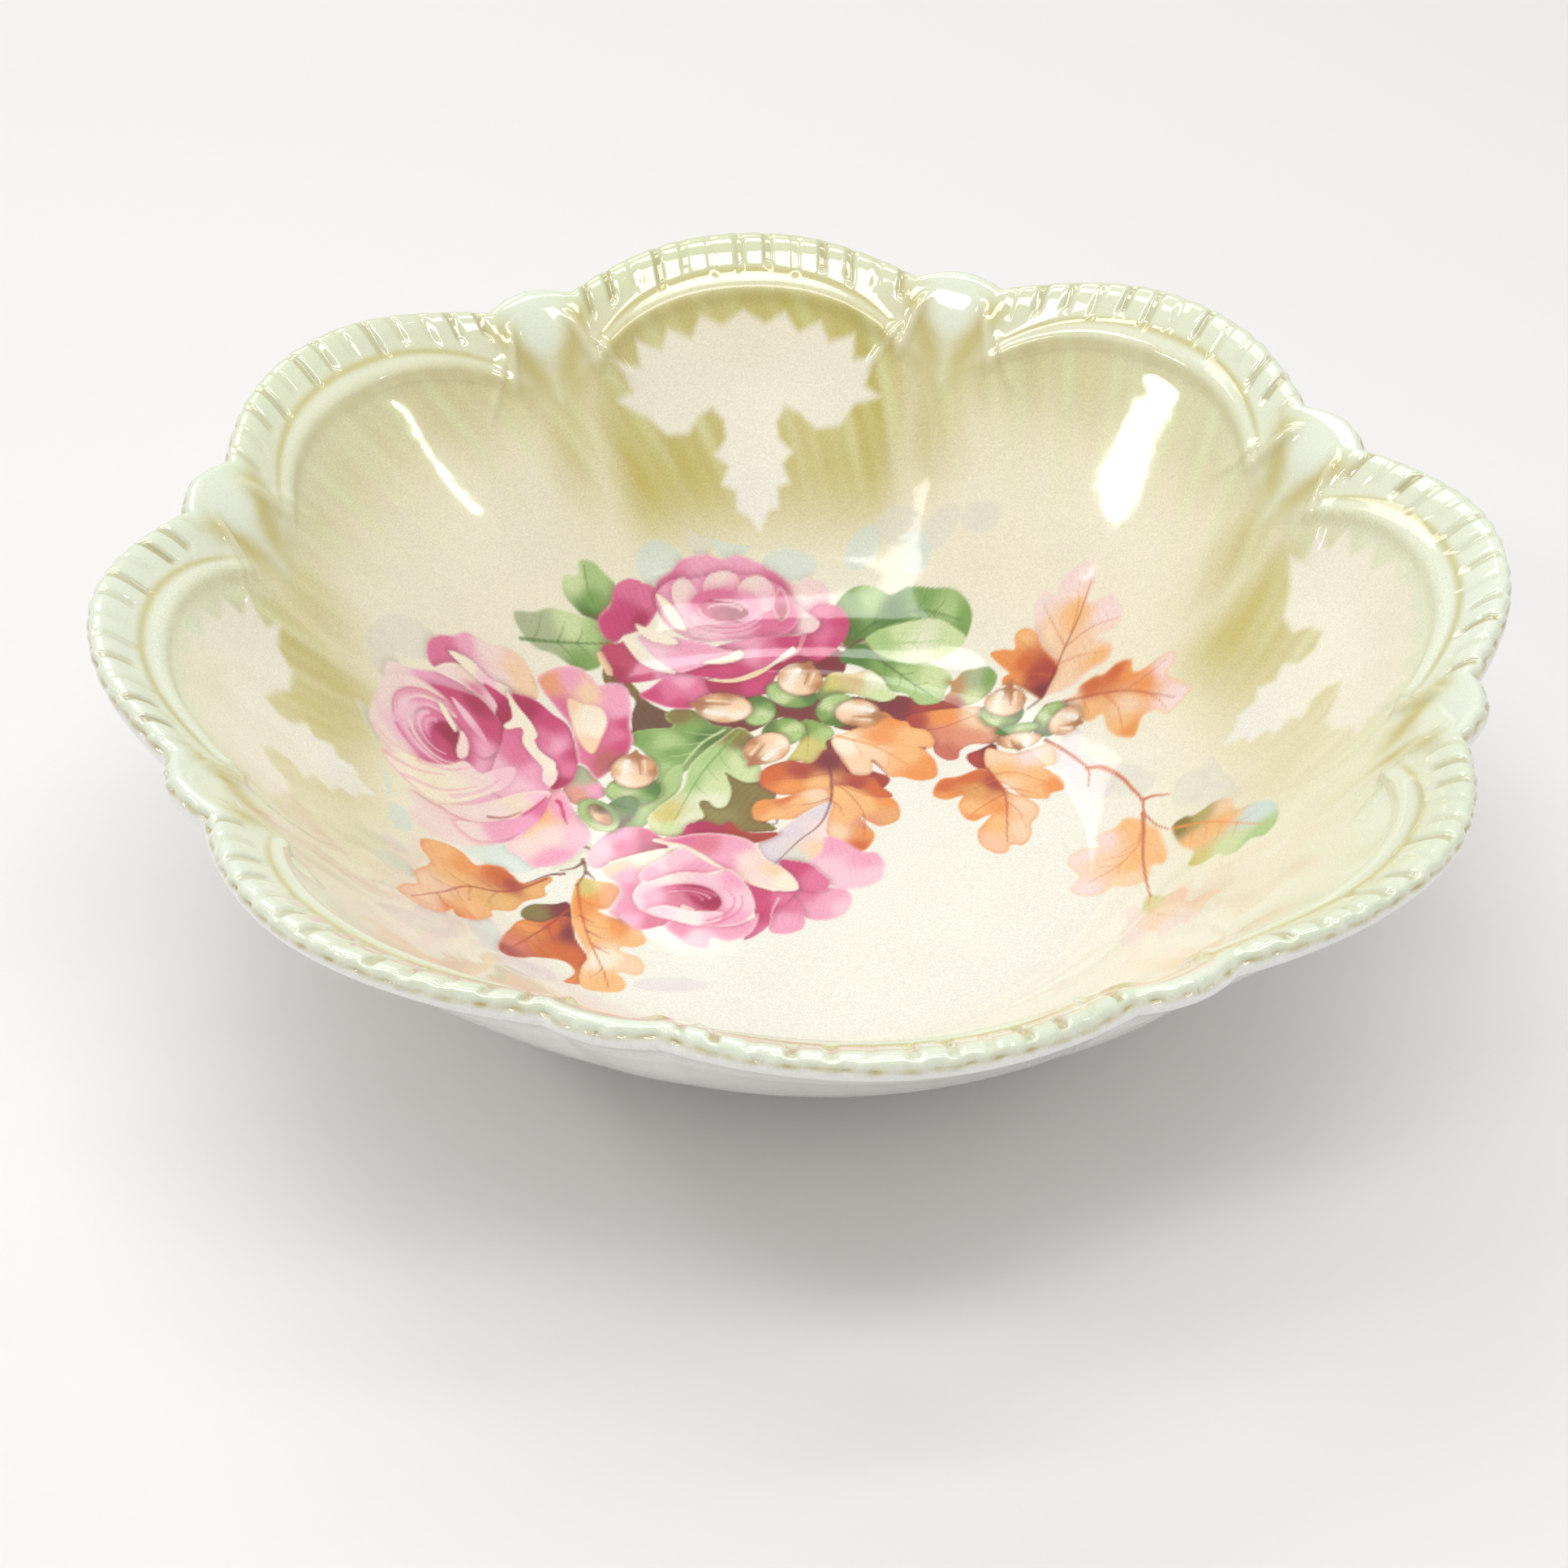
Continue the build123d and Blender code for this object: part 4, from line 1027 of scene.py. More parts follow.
    # heart of the rose
    p.oval((-73, 27.6), (9.4, 9.6), 0, [(-80, 30, SHELL), (-73, 36, SHELL), (-66, 33, ROSE), (-79, 21, BLUSH),
                                        (-72, 19, ROSE), (-66, 24, ROSE)], soft=1.2, shadow=0.1)
    p.oval((-72.4, 27.2), (6.9, 7.4), 10,
           [(-77, 29, BLUSH), (-73, 33.6, PINK), (-68, 32, ROSE), (-76, 22, PINK), (-69, 22, ROSE)],
           edge=PINK, edge_width=0.5, soft=0.8, shadow=0.2)
    p.oval((-70.4, 27.2), (4.7, 5.2), -15, [(-73.6, 28.6, PINK), (-71.6, 30.6, ROSE), (-71, 25, MAGENTA),
                                            (-68, 28, DEEP_ROSE)], soft=0.8, shadow=0.25)
    p.oval((-69.4, 27.4), (3.0, 3.8), -25, [(-69, 28, srgb(160, 48, 76)), (-70.6, 25.6, MAGENTA)], soft=1.2,
           shadow=0)
    for radii, start, end, colour in (((2.4, 2.8), 100, 230, PINK), ((3.6, 4.2), 120, 290, BLUSH),
                                      ((5.2, 5.6), 40, 170, BLUSH), ((5.4, 6.0), 190, 300, SHELL),
                                      ((6.8, 7.2), 60, 160, SHELL), ((7.0, 7.0), 200, 280, BLUSH),
                                      ((8.6, 8.4), 80, 190, ROSE), ((8.8, 8.6), 205, 265, ROSE)):
        p.arc((-71, 27.3), radii, start, end, 0.9, colour, 0.75)
        p.arc((-71, 27.3), (radii[0] - 0.6, radii[1] - 0.6), start + 8, end - 8, 0.5, MAGENTA, 0.35)
    p.shape([(-70.6, 34.4), (-69.2, 34), (-67.4, 31), (-67.8, 30), (-69.6, 32.2)], [(-69, 32.6, CREAM)],
            shadow=0.2)
    p.shape([(-66.4, 31), (-65.2, 29.4), (-65.4, 26), (-67, 24), (-67.6, 25.6), (-67, 28.4)],
            [(-66.4, 28, SHELL)], shadow=0.2)
    # long front petals
    p.shape([(-83.4, 19.6), (-80, 17.6), (-75, 18), (-70, 20.4), (-66, 24), (-63, 22.6), (-60, 25),
             (-56, 27), (-57.6, 22), (-62.4, 17), (-68, 12), (-72, 9.4), (-77, 10.6), (-81, 13.6),
             (-80, 16)],
            [(-82, 18, SHELL), (-76, 16, CREAM), (-70, 17, CREAM), (-64, 21, SHELL), (-58, 24.6, BLUSH),
             (-72, 11, CREAM), (-66, 15, CREAM)], soft=0.6, streak=0.02, shadow=0.22, dark=MAGENTA)
    for way in ([(-81.6, 14.6), (-76, 14.8), (-70, 18)], [(-78, 11.4), (-71, 13.4), (-64, 18.6)],
                [(-69, 13), (-63, 18), (-59, 23)], [(-75, 17.6), (-69, 20), (-64, 24)]):
        p.line(way, 1.1, PINK, 0.5)
    p.shape([(-71, 9), (-65, 13), (-60, 17), (-55, 20.6), (-50, 21.6), (-49.6, 19.6), (-54, 14.6),
             (-60, 11), (-65, 8.4)],
            [(-68, 9.6, SHELL), (-62, 13.6, SHELL), (-56, 18, srgb(244, 224, 200)), (-52, 19.6, BLUSH)],
            streak=0.03, edge=SHELL, shadow=0.2, dark=MAGENTA)
    p.shape([(-68.4, 6.4), (-62, 9.4), (-56, 13.4), (-50, 19.6), (-51, 14), (-55, 9), (-60, 5.4),
             (-65, 3.4)],
            [(-66, 5.6, SHELL), (-60, 8, PINK), (-55, 11.6, PINK), (-51.4, 16.4, ROSE)], shadow=0.2,
            dark=MAGENTA)
    p.line([(-62, 11.2), (-58.6, 12.4), (-55.4, 14.8)], 0.9, srgb(186, 112, 104), 0.8)
    p.line([(-55, 14), (-52, 17), (-50, 20)], 0.9, MAGENTA, 0.6)
    # turned petal on the right
    p.shape([(-50, 50.4), (-46, 53.6), (-42, 55), (-39, 54), (-37.4, 52.2), (-35, 53), (-32.4, 53.4),
             (-31, 51.4), (-30.8, 47), (-31.4, 42), (-31.2, 37), (-33, 32), (-37, 27), (-39.6, 25),
             (-41.6, 29), (-43, 30.6), (-43.2, 36), (-44, 41), (-47, 45), (-49.4, 48)],
            [(-47.4, 50.4, srgb(240, 164, 124)), (-43, 52, PINK), (-40, 50, PEACH), (-34, 51, PINK),
             (-33.4, 47, PINK), (-45.6, 45, ROSE), (-32, 42, MAGENTA), (-35, 39, ROSE), (-42, 33, ROSE),
             (-37, 31, srgb(190, 104, 104)), (-33, 35, MAGENTA)], edge=BLUSH, edge_width=0.5)
    p.shape([(-44, 47.4), (-41, 47), (-37.2, 46.6), (-36.2, 43), (-37.6, 38.4), (-39.8, 33.2), (-42, 36),
             (-43.6, 42)],
            [(-41, 45, CREAM), (-39, 41, CREAM), (-40.6, 36, PEACH), (-43, 46, PEACH)], shadow=0.12,
            soft=0.9, streak=0.02)


def rose_top(p):
    """Upper rose: a cup of petals over a deep pink ruff."""
    p.start("rose_top")
    p.shape([(-23.6, 70), (-23, 74), (-19.6, 76.4), (-17.4, 78.4), (-12, 79.6), (-8.6, 79), (-5, 79.6),
             (-1, 78.4), (3, 76.4), (6.4, 74.4), (10, 75), (13.6, 73), (13, 68), (6, 65), (-10, 65),
             (-20, 66)],
            [(-20, 74, ROSE), (-12, 78, PINK), (-4, 78, PINK), (3, 74, ROSE), (9, 73, SHELL),
             (10, 69, BLUSH), (-15, 71, PINK)], soft=0.8, streak=0.06)
    p.shape([(-36.4, 65), (-35, 67), (-33.4, 68.6), (-32, 72), (-29, 73.8), (-26, 73.6), (-23.4, 73),
             (-22.8, 70.4), (-25, 67), (-27, 65.4), (-31, 63.4), (-33, 61.8), (-35.4, 62.4)],
            [(-30, 72, ROSE), (-26, 71, ROSE), (-30, 68, MAGENTA), (-34, 65, MAGENTA),
             (-27, 67, DEEP_ROSE)], edge=ROSE, edge_width=0.5, streak=0.08)
    p.shape([(-36, 60.4), (-32, 62), (-30, 63), (-27, 60), (-23, 57.6), (-19.6, 57), (-24, 55.4), (-29, 54),
             (-33, 53.6), (-34.4, 56.6)],
            [(-32, 59, srgb(196, 82, 108)), (-27, 57, MAGENTA), (-33, 55, DEEP_ROSE), (-23, 56.6, PINK)])
    p.shape([(-28.8, 51), (-26.4, 53), (-23, 56), (-20, 57.4), (-16, 56.6), (-13.4, 55), (-13.4, 52),
             (-15, 48.2), (-18, 46.6), (-22, 46.8), (-26, 48.8)],
            [(-19, 55.4, PINK), (-15.6, 53, ROSE), (-22, 52, ROSE), (-26, 51.4, MAGENTA),
             (-20, 48, MAGENTA), (-16, 49, ROSE)], edge=PINK, edge_width=0.35, streak=0.06)
    p.shape([(-14, 55.6), (-8, 54.6), (-3, 57), (2, 59.4), (8, 62.6), (12, 65), (14, 62), (10, 58.4),
             (4, 58.6), (0.6, 55.4), (-1, 51), (-5, 49.4), (-12, 50), (-14, 52)],
            [(-10, 53, DEEP_ROSE), (-4, 53, MAGENTA), (3, 58, DEEP_ROSE), (9, 60.4, DEEP_ROSE),
             (-2, 56, MAGENTA)], streak=0.1)
    p.shape([(7, 65), (9.6, 69.6), (12.4, 70.3), (16, 69), (17.6, 66), (16.2, 62.6), (13, 60), (10, 59),
             (7, 60.6), (4.6, 64)],
            [(12, 68.6, ROSE), (15.6, 67, MAGENTA), (12, 64, ROSE), (8, 62, MAGENTA), (14, 62, MAGENTA)],
            edge=MAGENTA, edge_width=0.5, streak=0.08)
    p.shape([(1, 73), (5, 72), (9, 69), (11.4, 67), (9.6, 65.2), (4, 65.2), (0, 68)],
            [(4, 70, PINK), (9, 67.6, SHELL), (4, 66.4, ROSE), (2, 72, ROSE)], streak=0.07, edge=BLUSH,
            edge_width=0.5)
    # cup of petals
    p.shape([(-23.6, 71.6), (-22, 68), (-19, 65.4), (-14, 64.2), (-8, 64.6), (0, 64.8), (5, 66), (7, 69),
             (4.6, 73.4), (0, 75.6), (-8, 76.6), (-15, 75.4), (-20, 74.6)],
            [(-20, 72, PINK), (-17, 69, BLUSH), (-13, 66, BLUSH), (-6, 66, PINK), (0, 67, ROSE),
             (4, 70, ROSE), (0, 74, PINK), (-10, 75, PINK)], streak=0.06, edge=PINK, edge_width=0.5)
    for outline, spots in (
            ([(-19.6, 74), (-17, 75.4), (-14.4, 73), (-14.6, 70), (-17, 68.6), (-19.6, 71)],
             [(-17.6, 73, SHELL), (-15.6, 70.6, PINK)]),
            ([(-13, 73.6), (-11.6, 76.2), (-8, 77), (-5.4, 76), (-5.4, 73.4), (-9, 72.4)],
             [(-9, 76, SHELL), (-8, 73.4, PINK)]),
            ([(-5.6, 73.6), (-3.6, 75.8), (0, 76), (2.4, 73.6), (2, 70.8), (-2, 70)],
             [(-2, 75, SHELL), (0, 72, BLUSH), (-3, 72, PINK)]),
            ([(1.6, 71), (3.4, 74), (5, 72), (5, 69.4), (3, 68)], [(3.6, 72.4, ROSE), (3.6, 70, DEEP_ROSE)])):
        p.shape(outline, spots, edge=SHELL, edge_width=0.4, shadow=0.3, dark=MAGENTA)
    p.oval((-8.4, 70.6), (7.6, 3.5), -4,
           [(-14, 71, ROSE), (-9, 73.4, ROSE), (-2.6, 71, PINK), (-8, 68, PINK)], soft=0.8, shadow=0.2,
           dark=MAGENTA)
    p.oval((-9, 70.2), (5.4, 2.1), -4,
           [(-13, 70.6, MAGENTA), (-7, 70.2, srgb(160, 46, 78)), (-10, 69.4, DEEP_ROSE)], soft=0.7,
           shadow=0)
    for radii, start, end in (((3.6, 0.9), 10, 170), ((4.8, 1.7), 20, 120), ((5.6, 2.4), 190, 330),
                              ((7.0, 2.9), 200, 350), ((8.4, 3.9), 215, 345), ((9.8, 4.8), 205, 320)):
        p.arc((-8.8, 70.5), radii, start, end, 0.7, BLUSH, 0.75)
        p.arc((-8.8, 70.5), (radii[0] - 0.2, radii[1] - 0.45), start + 8, end - 8, 0.45, MAGENTA, 0.4)
    # front petals
    p.shape([(-20, 57.6), (-13, 55.8), (-8, 55.4), (-2, 57.8), (3, 61.4), (7.4, 64.4), (2, 65), (-5, 64.8),
             (-12, 63), (-18, 60)],
            [(-14, 58, MAGENTA), (-7, 57, MAGENTA), (0, 61, ROSE), (4, 63.6, MAGENTA), (-4, 62.6, PINK)],
            streak=0.07)
    p.shape([(-28, 64), (-22, 64.8), (-15, 64.2), (-10, 62.8), (-6.4, 62), (-8.4, 60.4), (-12, 59.8),
             (-16, 58.4), (-20, 57.2), (-24, 59.4), (-26.4, 61.6)],
            [(-24, 62, BLUSH), (-16, 62, PINK), (-20, 59, PINK), (-10, 61.4, PINK)], edge=BLUSH,
            edge_width=0.5, streak=0.04)
    p.shape([(-31.4, 63), (-29.6, 63.8), (-28, 61.6), (-25, 59), (-20.6, 57), (-23, 57), (-27.6, 58.4),
             (-30, 60.8)],
            [(-29.4, 61.8, CREAM), (-25, 58.4, SHELL), (-22, 57.4, SHELL)], shadow=0.25)
    p.shape([(-23.4, 72), (-20, 70.4), (-17.4, 66.4), (-19.6, 66.6), (-21.6, 68.6)], [(-20, 68.6, CREAM)],
            shadow=0.2)
    p.shape([(-28.4, 66), (-25, 65.6), (-21, 64.8), (-19.6, 63.4), (-23.4, 63.2), (-26.4, 64)],
            [(-24, 64.6, CREAM)], shadow=0.25)
    p.shape([(-14.4, 59.7), (-10, 61), (-6.4, 62.5), (-5.8, 61), (-8, 59.9), (-11.6, 59.4)],
            [(-9, 60.8, CREAM)], shadow=0.2)
    p.shape([(-14, 55.4), (-9, 54.3), (-4, 55.6), (0.4, 58.6), (-3, 57.6), (-8, 55.6)],
            [(-6, 55.2, srgb(238, 214, 178))], shadow=0.25)
    p.line([(7.6, 64.4), (6, 61.6), (2.6, 59.4)], 1.1, srgb(226, 156, 168), 0.8)


def rose_bottom(p):
    """Lower rose with loose petals that fade to its right."""
    p.start("rose_bottom")
    p.shape([(-1, -7), (3, -3), (4.6, 1.8), (8, 0), (11, -3.4), (14, -4.2), (15, -8), (13.4, -12.6),
             (9.4, -14.4), (5, -14), (1.6, -11)],
            [(5, -1, PINK), (4, -8, BLUSH), (11, -6, PINK), (12, -11, BLUSH), (6, -12, BLUSH)], soft=1.0,
            shadow=0)
    p.shape([(-3, -11), (3, -13.6), (6.4, -14.6), (7.2, -18), (5, -22), (1, -23.2), (-2.4, -22), (-4.6, -17)],
            [(-1, -15, ROSE), (3, -16, PINK), (1, -20, PINK), (5, -20, BLUSH)], soft=0.8, shadow=0.1)
    p.shape([(-4.6, -15), (-2.6, -20), (-3.2, -25), (-7, -26.4), (-9.8, -25), (-8.4, -20), (-6.6, -16)],
            [(-5, -18, ROSE), (-6, -23, PINK)], soft=0.6)
    p.shape([(-5.4, -4.6), (0, -6), (2, -9), (3.6, -12), (2, -14.6), (-2, -13.6), (-4, -10)],
            [(-3, -7, MAGENTA), (1, -11, ROSE)])
    p.shape([(-13, -10), (-8, -12.6), (-3.6, -13.4), (-4.6, -16), (-8, -20), (-10, -24), (-13, -26.6),
             (-15, -27), (-12.4, -23), (-12, -17)],
            [(-10, -14, MAGENTA), (-6, -14.6, ROSE), (-10, -20, MAGENTA), (-13, -25.6, ROSE)], streak=0.08)
    p.line([(-7, -16), (-8.6, -19.6), (-9.4, -23.6)], 0.7, BLUSH, 0.6)
    p.shape([(-30, 4.4), (-24.6, 5.2), (-22.4, 8.4), (-19, 9.2), (-16, 7.6), (-14, 8.4), (-12, 5.6),
             (-9.6, 4.6), (-4.6, 4), (-8, 1.6), (-14, 1), (-22, 2)],
            [(-19, 7, DEEP_ROSE), (-12, 4.6, BRICK), (-24, 4, MAGENTA), (-7, 3.6, BRICK)])
    p.shape([(-43, 1), (-41.4, 4.6), (-38.4, 7.8), (-35, 9), (-31, 8.2), (-28.4, 5.4), (-27, 2.6), (-28, 0),
             (-34, -1.4), (-38, -2), (-42, -3)],
            [(-40, 3, BLUSH), (-36, 7, PINK), (-36, 3, ROSE), (-30, 6, MAGENTA), (-30, 2, DEEP_ROSE)],
            streak=0.05)
    p.shape([(-29, 4.4), (-26, 4.6), (-20, 5.4), (-14, 4.2), (-10, 1.4), (-8.4, -3.6), (-5, -7),
             (-3, -10.6), (-3, -13.8), (-7, -13.6), (-11, -11.2), (-14, -8), (-18, -5), (-21, -1),
             (-25, 2)],
            [(-24, 4, ROSE), (-19, 2, srgb(226, 128, 146)), (-14, 1, PINK), (-12, -4, SHELL),
             (-16, -4, PINK), (-7, -7, PEACH), (-5, -11, CREAM), (-9.6, -10, SHELL)], edge=SHELL,
            edge_width=0.5)
    p.shape([(-40.6, -4), (-38, -1.2), (-34, 0), (-28, 1.2), (-24.4, 1), (-27, -2), (-31.4, -4), (-33, -8),
             (-34, -14), (-35, -19), (-38, -18.6), (-40, -16), (-37.4, -10)],
            [(-38, -3, PEACH), (-32, -0.4, CREAM), (-36, -6, PINK), (-35, -10, ROSE), (-37.4, -15, PINK)],
            edge=SHELL, edge_width=0.5)
    p.shape([(-36.6, -13), (-34, -16), (-31, -18.6), (-27.6, -20.4), (-31, -21.6), (-34.6, -22),
             (-37.4, -19), (-38, -16)],
            [(-35, -16, ROSE), (-32, -20, MAGENTA), (-36, -19, PINK)], soft=0.7)
    p.shape([(-33.4, -7), (-32, -4), (-28, -1.4), (-24, 1.2), (-20, -3), (-16.6, -5.6), (-20, -7),
             (-25, -7), (-30, -8.6)],
            [(-28, -3, BLUSH), (-24, -1, BLUSH), (-22, -5, PINK), (-31, -6, PINK)], edge=SHELL,
            edge_width=0.4)
    p.line([(-29.4, 4.2), (-27, 2.8), (-24, 1.8), (-20.6, -1.6), (-17.4, -5.4), (-14, -7.6), (-12, -10.6),
            (-7.4, -13.4)], 0.9, CREAM, 0.85, taper=False)
    p.line([(-38.6, -1.6), (-33, 0.2), (-28, 1.2), (-24.6, 1)], 0.8, CREAM, 0.85)
    # bowl of petals round the heart
    p.shape([(-29.6, -21.6), (-27, -19.6), (-22, -22), (-17, -22.6), (-13, -21.6), (-11.4, -20), (-12, -23),
             (-14, -26), (-18, -27.2), (-21, -26), (-22, -28.6), (-25, -27.8), (-28, -24.6)],
            [(-27, -23, ROSE), (-24, -26, BLUSH), (-19, -24, PINK), (-15, -24, PINK)], soft=0.7, edge=BLUSH)
    p.shape([(-35, -13), (-34, -9.4), (-31, -8), (-25, -6.2), (-19, -7.2), (-16, -6), (-13.6, -9),
             (-12, -14), (-12, -19), (-14.6, -22.4), (-18, -23), (-22, -22.4), (-28, -20), (-33, -17)],
            [(-33, -12, BLUSH), (-27, -8, SHELL), (-20, -8.6, BLUSH), (-15, -9, PINK), (-14, -16, BLUSH),
             (-16, -21, PINK), (-31, -16, PINK)], edge=SHELL, edge_width=0.5, dark=MAGENTA, shadow=0.5)
    p.shape([(-33, -12), (-28.6, -9.8), (-23, -10), (-19.6, -12), (-18, -15.4), (-19, -18), (-22.4, -19.4),
             (-27, -17.6), (-31.4, -15)],
            [(-31, -12.4, PINK), (-27, -11.4, MAGENTA), (-23, -12.4, DEEP_ROSE),
             (-20, -15, srgb(166, 52, 84)), (-26, -15.6, MAGENTA)], soft=0.7, shadow=0.2, streak=0.1,
            dark=MAGENTA)
    p.shape([(-32.6, -16.6), (-29.4, -19), (-24, -22), (-20, -22), (-18, -19.4), (-20, -18.4), (-24, -17.8),
             (-29, -15.6)],
            [(-30, -17.4, BLUSH), (-25, -19.6, SHELL), (-20.4, -20.4, BLUSH)], edge=SHELL, edge_width=0.4,
            dark=MAGENTA)
    for radii, start, end, colour in (((6.6, 3.4), 30, 130, ROSE), ((5.0, 2.6), 20, 150, PINK),
                                      ((3.4, 1.8), 10, 120, ROSE), ((9.6, 6.6), -60, 40, ROSE),
                                      ((11.2, 7.6), -70, 20, ROSE)):
        p.arc((-25, -14.4), radii, start, end, 0.7, colour, 0.7, turn=-12)
    p.line([(-25.6, -16.4), (-23.6, -17.6)], 0.9, CREAM, 0.7)


def acorns(p):
    """Acorns in their cups, and the young one below the left rose."""
    p.start("acorns")
    for acorn in (((12.4, 43.2), (5.6, 4.6), (16.4, 42.0), (4.5, 4.9)),
                  ((0.2, 37.0), (4.4, 5.0), (-3.8, 31.6), (4.5, 6.0)),
                  ((-4.2, 44.6), (5.0, 3.6), (-11.4, 46.2), (4.8, 6.2)),
                  ((3.4, 49.6), (5.6, 4.4), (5.6, 53.8), (4.9, 5.0)),
                  ((-32.4, 20.6), (5.8, 4.8), (-31.8, 27), (4.8, 5.8)),
                  ((46.2, 36.8), (4.6, 4.0), (47.2, 39.4), (4.4, 3.5)),
                  ((55.2, 31.2), (4.2, 3.4), (58, 29.4), (3.3, 3.3)),
                  ((48.4, 31.4), (4.4, 1.8), (48.2, 28.2), (4.6, 2.4))):
        p.acorn(*acorn)
    p.oval((-36, 13.6), (3.4, 6.2), -32, [(-38, 12, LEAF_GREEN), (-34, 16, DEEP_GREEN), (-35, 10, BROWN)],
           dark=BROWN)
    p.oval((-40, 13.4), (3.6, 5.8), 26,
           [(-42, 15, SOFT_GREEN), (-40, 9, PALE_GREEN), (-38, 14, LEAF_GREEN)], edge=DEEP_GREEN,
           edge_width=0.35, dark=BROWN)
    p.oval((-39.6, 13.6), (1.9, 3.9), 26,
           [(-40.6, 13, PEACH), (-39, 15, BROWN), (-38.6, 12, srgb(196, 140, 100))], edge=BROWN,
           edge_width=0.4, shadow=0.3)


def spray(p):
    """Whole printed spray, from the back to the front."""
    for motif in (shadow_leaves, oak_twig, oak_sprig_left, dark_ground, green_leaves, oak_leaves_middle,
                  oak_leaves_right, rose_bottom, rose_left, rose_top, acorns):
        motif(p)


# ---- printed films ----------------------------------------------------------
FILM_STEP = 0.36
PRINT_LIFT = 0.03
STENCIL_LIFT = 0.10          # above the lustre coat that it reaches under the ridge
FILM_THICKNESS = 0.05
HALVINGS = 24                # steps that find a point's distance from the crest
VOTE_REACH = 2               # cells on each side that vote on a cell's film
SEAM_ROUNDS = 8


def place_on_wall(x, y):
    """Angle, and distance inwards from the crest, of points of the inside seen from above."""
    degrees, radius = np.degrees(np.arctan2(y, x)), np.hypot(x, y)
    low, high = np.full(len(x), 2.0), np.full(len(x), PROFILE[4].max())
    for _ in range(HALVINGS):
        middle = (low + high) / 2
        outside = np.hypot(*wall_point(degrees, middle)[:, :2].T) > radius
        low, high = np.where(outside, middle, low), np.where(outside, high, middle)
    return degrees, (low + high) / 2


def even_out(film, count):
    """Each cell takes the film that most cells round it have, so no film has specks."""
    rows, cols = film.shape
    padded = np.pad(film, VOTE_REACH, constant_values=-1)
    shifts = range(2 * VOTE_REACH + 1)
    votes = [sum((padded[i:i + rows, j:j + cols] == k).astype(int) for i in shifts for j in shifts)
             for k in range(-1, count)]
    return np.argmax(votes, axis=0) - 1


def smooth_seams(x, y, film):
    """Round off the steps of the grid where one film ends and another begins."""
    rows, cols = film.shape[0] + 1, film.shape[1] + 1
    padded = np.pad(film, 1, constant_values=-1)
    index = np.arange(rows * cols).reshape(rows, cols)
    level = padded[:-1, 1:-1] != padded[1:, 1:-1]
    upright = padded[1:-1, :-1] != padded[1:-1, 1:]
    pairs = np.vstack([np.stack([index[:, :-1][level], index[:, 1:][level]], -1),
                       np.stack([index[:-1][upright], index[1:][upright]], -1)])
    pairs = np.vstack([pairs, pairs[:, ::-1]])
    count = np.bincount(pairs[:, 0], minlength=rows * cols)
    seam = count > 0
    for _ in range(SEAM_ROUNDS):
        for axis in (x, y):
            total = np.bincount(pairs[:, 0], axis[pairs[:, 1]], rows * cols)
            axis[seam] += 0.5 * (total[seam] / count[seam] - axis[seam])


def film_pieces(x_span, y_span, turn, lift, painter, material, node_name):
    """Thin films that carry what a painter lays over the ground, one for each motif that it names."""
    xs, ys = np.arange(*x_span, FILM_STEP), np.arange(*y_span, FILM_STEP)
    x, y = [grid.ravel() for grid in np.meshgrid(xs, ys)]
    corner = (np.arange(len(ys) - 1)[:, None] * len(xs) + np.arange(len(xs) - 1)).ravel()
    cells = np.stack([corner, corner + 1, corner + len(xs) + 1, corner + len(xs)], -1)
    draft = Print(x[cells].mean(1), y[cells].mean(1), np.zeros((len(cells), 3)))
    painter(draft)
    film = even_out(draft.film.reshape(len(ys) - 1, len(xs) - 1), len(draft.films))
    smooth_seams(x, y, film)
    film = film.ravel()
    used = np.unique(cells[film >= 0])
    x, y = x[used], y[used]
    cells = np.searchsorted(used, cells[film >= 0])
    film = film[film >= 0]
    c, s = cos(radians(turn)), sin(radians(turn))
    degrees, d = place_on_wall(c * x - s * y, s * x + c * y)
    final = Print(x, y, ground_colour(degrees, d))
    painter(final)
    normals = wall_normal(degrees, d)
    points = wall_point(degrees, d) + (lift + FILM_THICKNESS) * normals
    for number, name in enumerate(final.films):
        mine = np.unique(cells[film == number])
        if not len(mine):
            continue
        faces = np.searchsorted(mine, cells[film == number])
        piece = thin_shell(name, points[mine], normals[mine], faces, final.colour[mine], FILM_THICKNESS, lift)
        piece.data.materials.append(material)
        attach(piece, "root")
        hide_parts(node_name)


STENCIL_LEAF = [(-29, 101), (-25.5, 103), (-28, 106), (-23.5, 107), (-24, 110.5), (-18.5, 110),
                (-17, 113.5), (-12, 112.5), (-9.5, 116), (-5, 114.8), (0, 117), (4.5, 114.8), (9, 116),
                (11.5, 112.8), (16.5, 113.5), (18, 110.2), (23.5, 110), (23, 106.6), (27.5, 105.4),
                (25, 102.4), (28, 100), (22.5, 100.4), (19, 98), (14, 98.4), (11, 101), (7.6, 102.6),
                (5.6, 100.4), (5.8, 98), (8.6, 95.6), (6.2, 94), (7.4, 90.8), (4.8, 90.2), (4.6, 87),
                (2.4, 86.6), (0.2, 83.2), (-2.2, 86), (-4.4, 86.8), (-4.4, 90), (-7.4, 91), (-5.8, 94),
                (-8.4, 95.8), (-5.8, 98.2), (-5.8, 101), (-8.2, 102.8), (-11.6, 101.4), (-13.6, 98.8),
                (-18.6, 98), (-22.6, 100)]


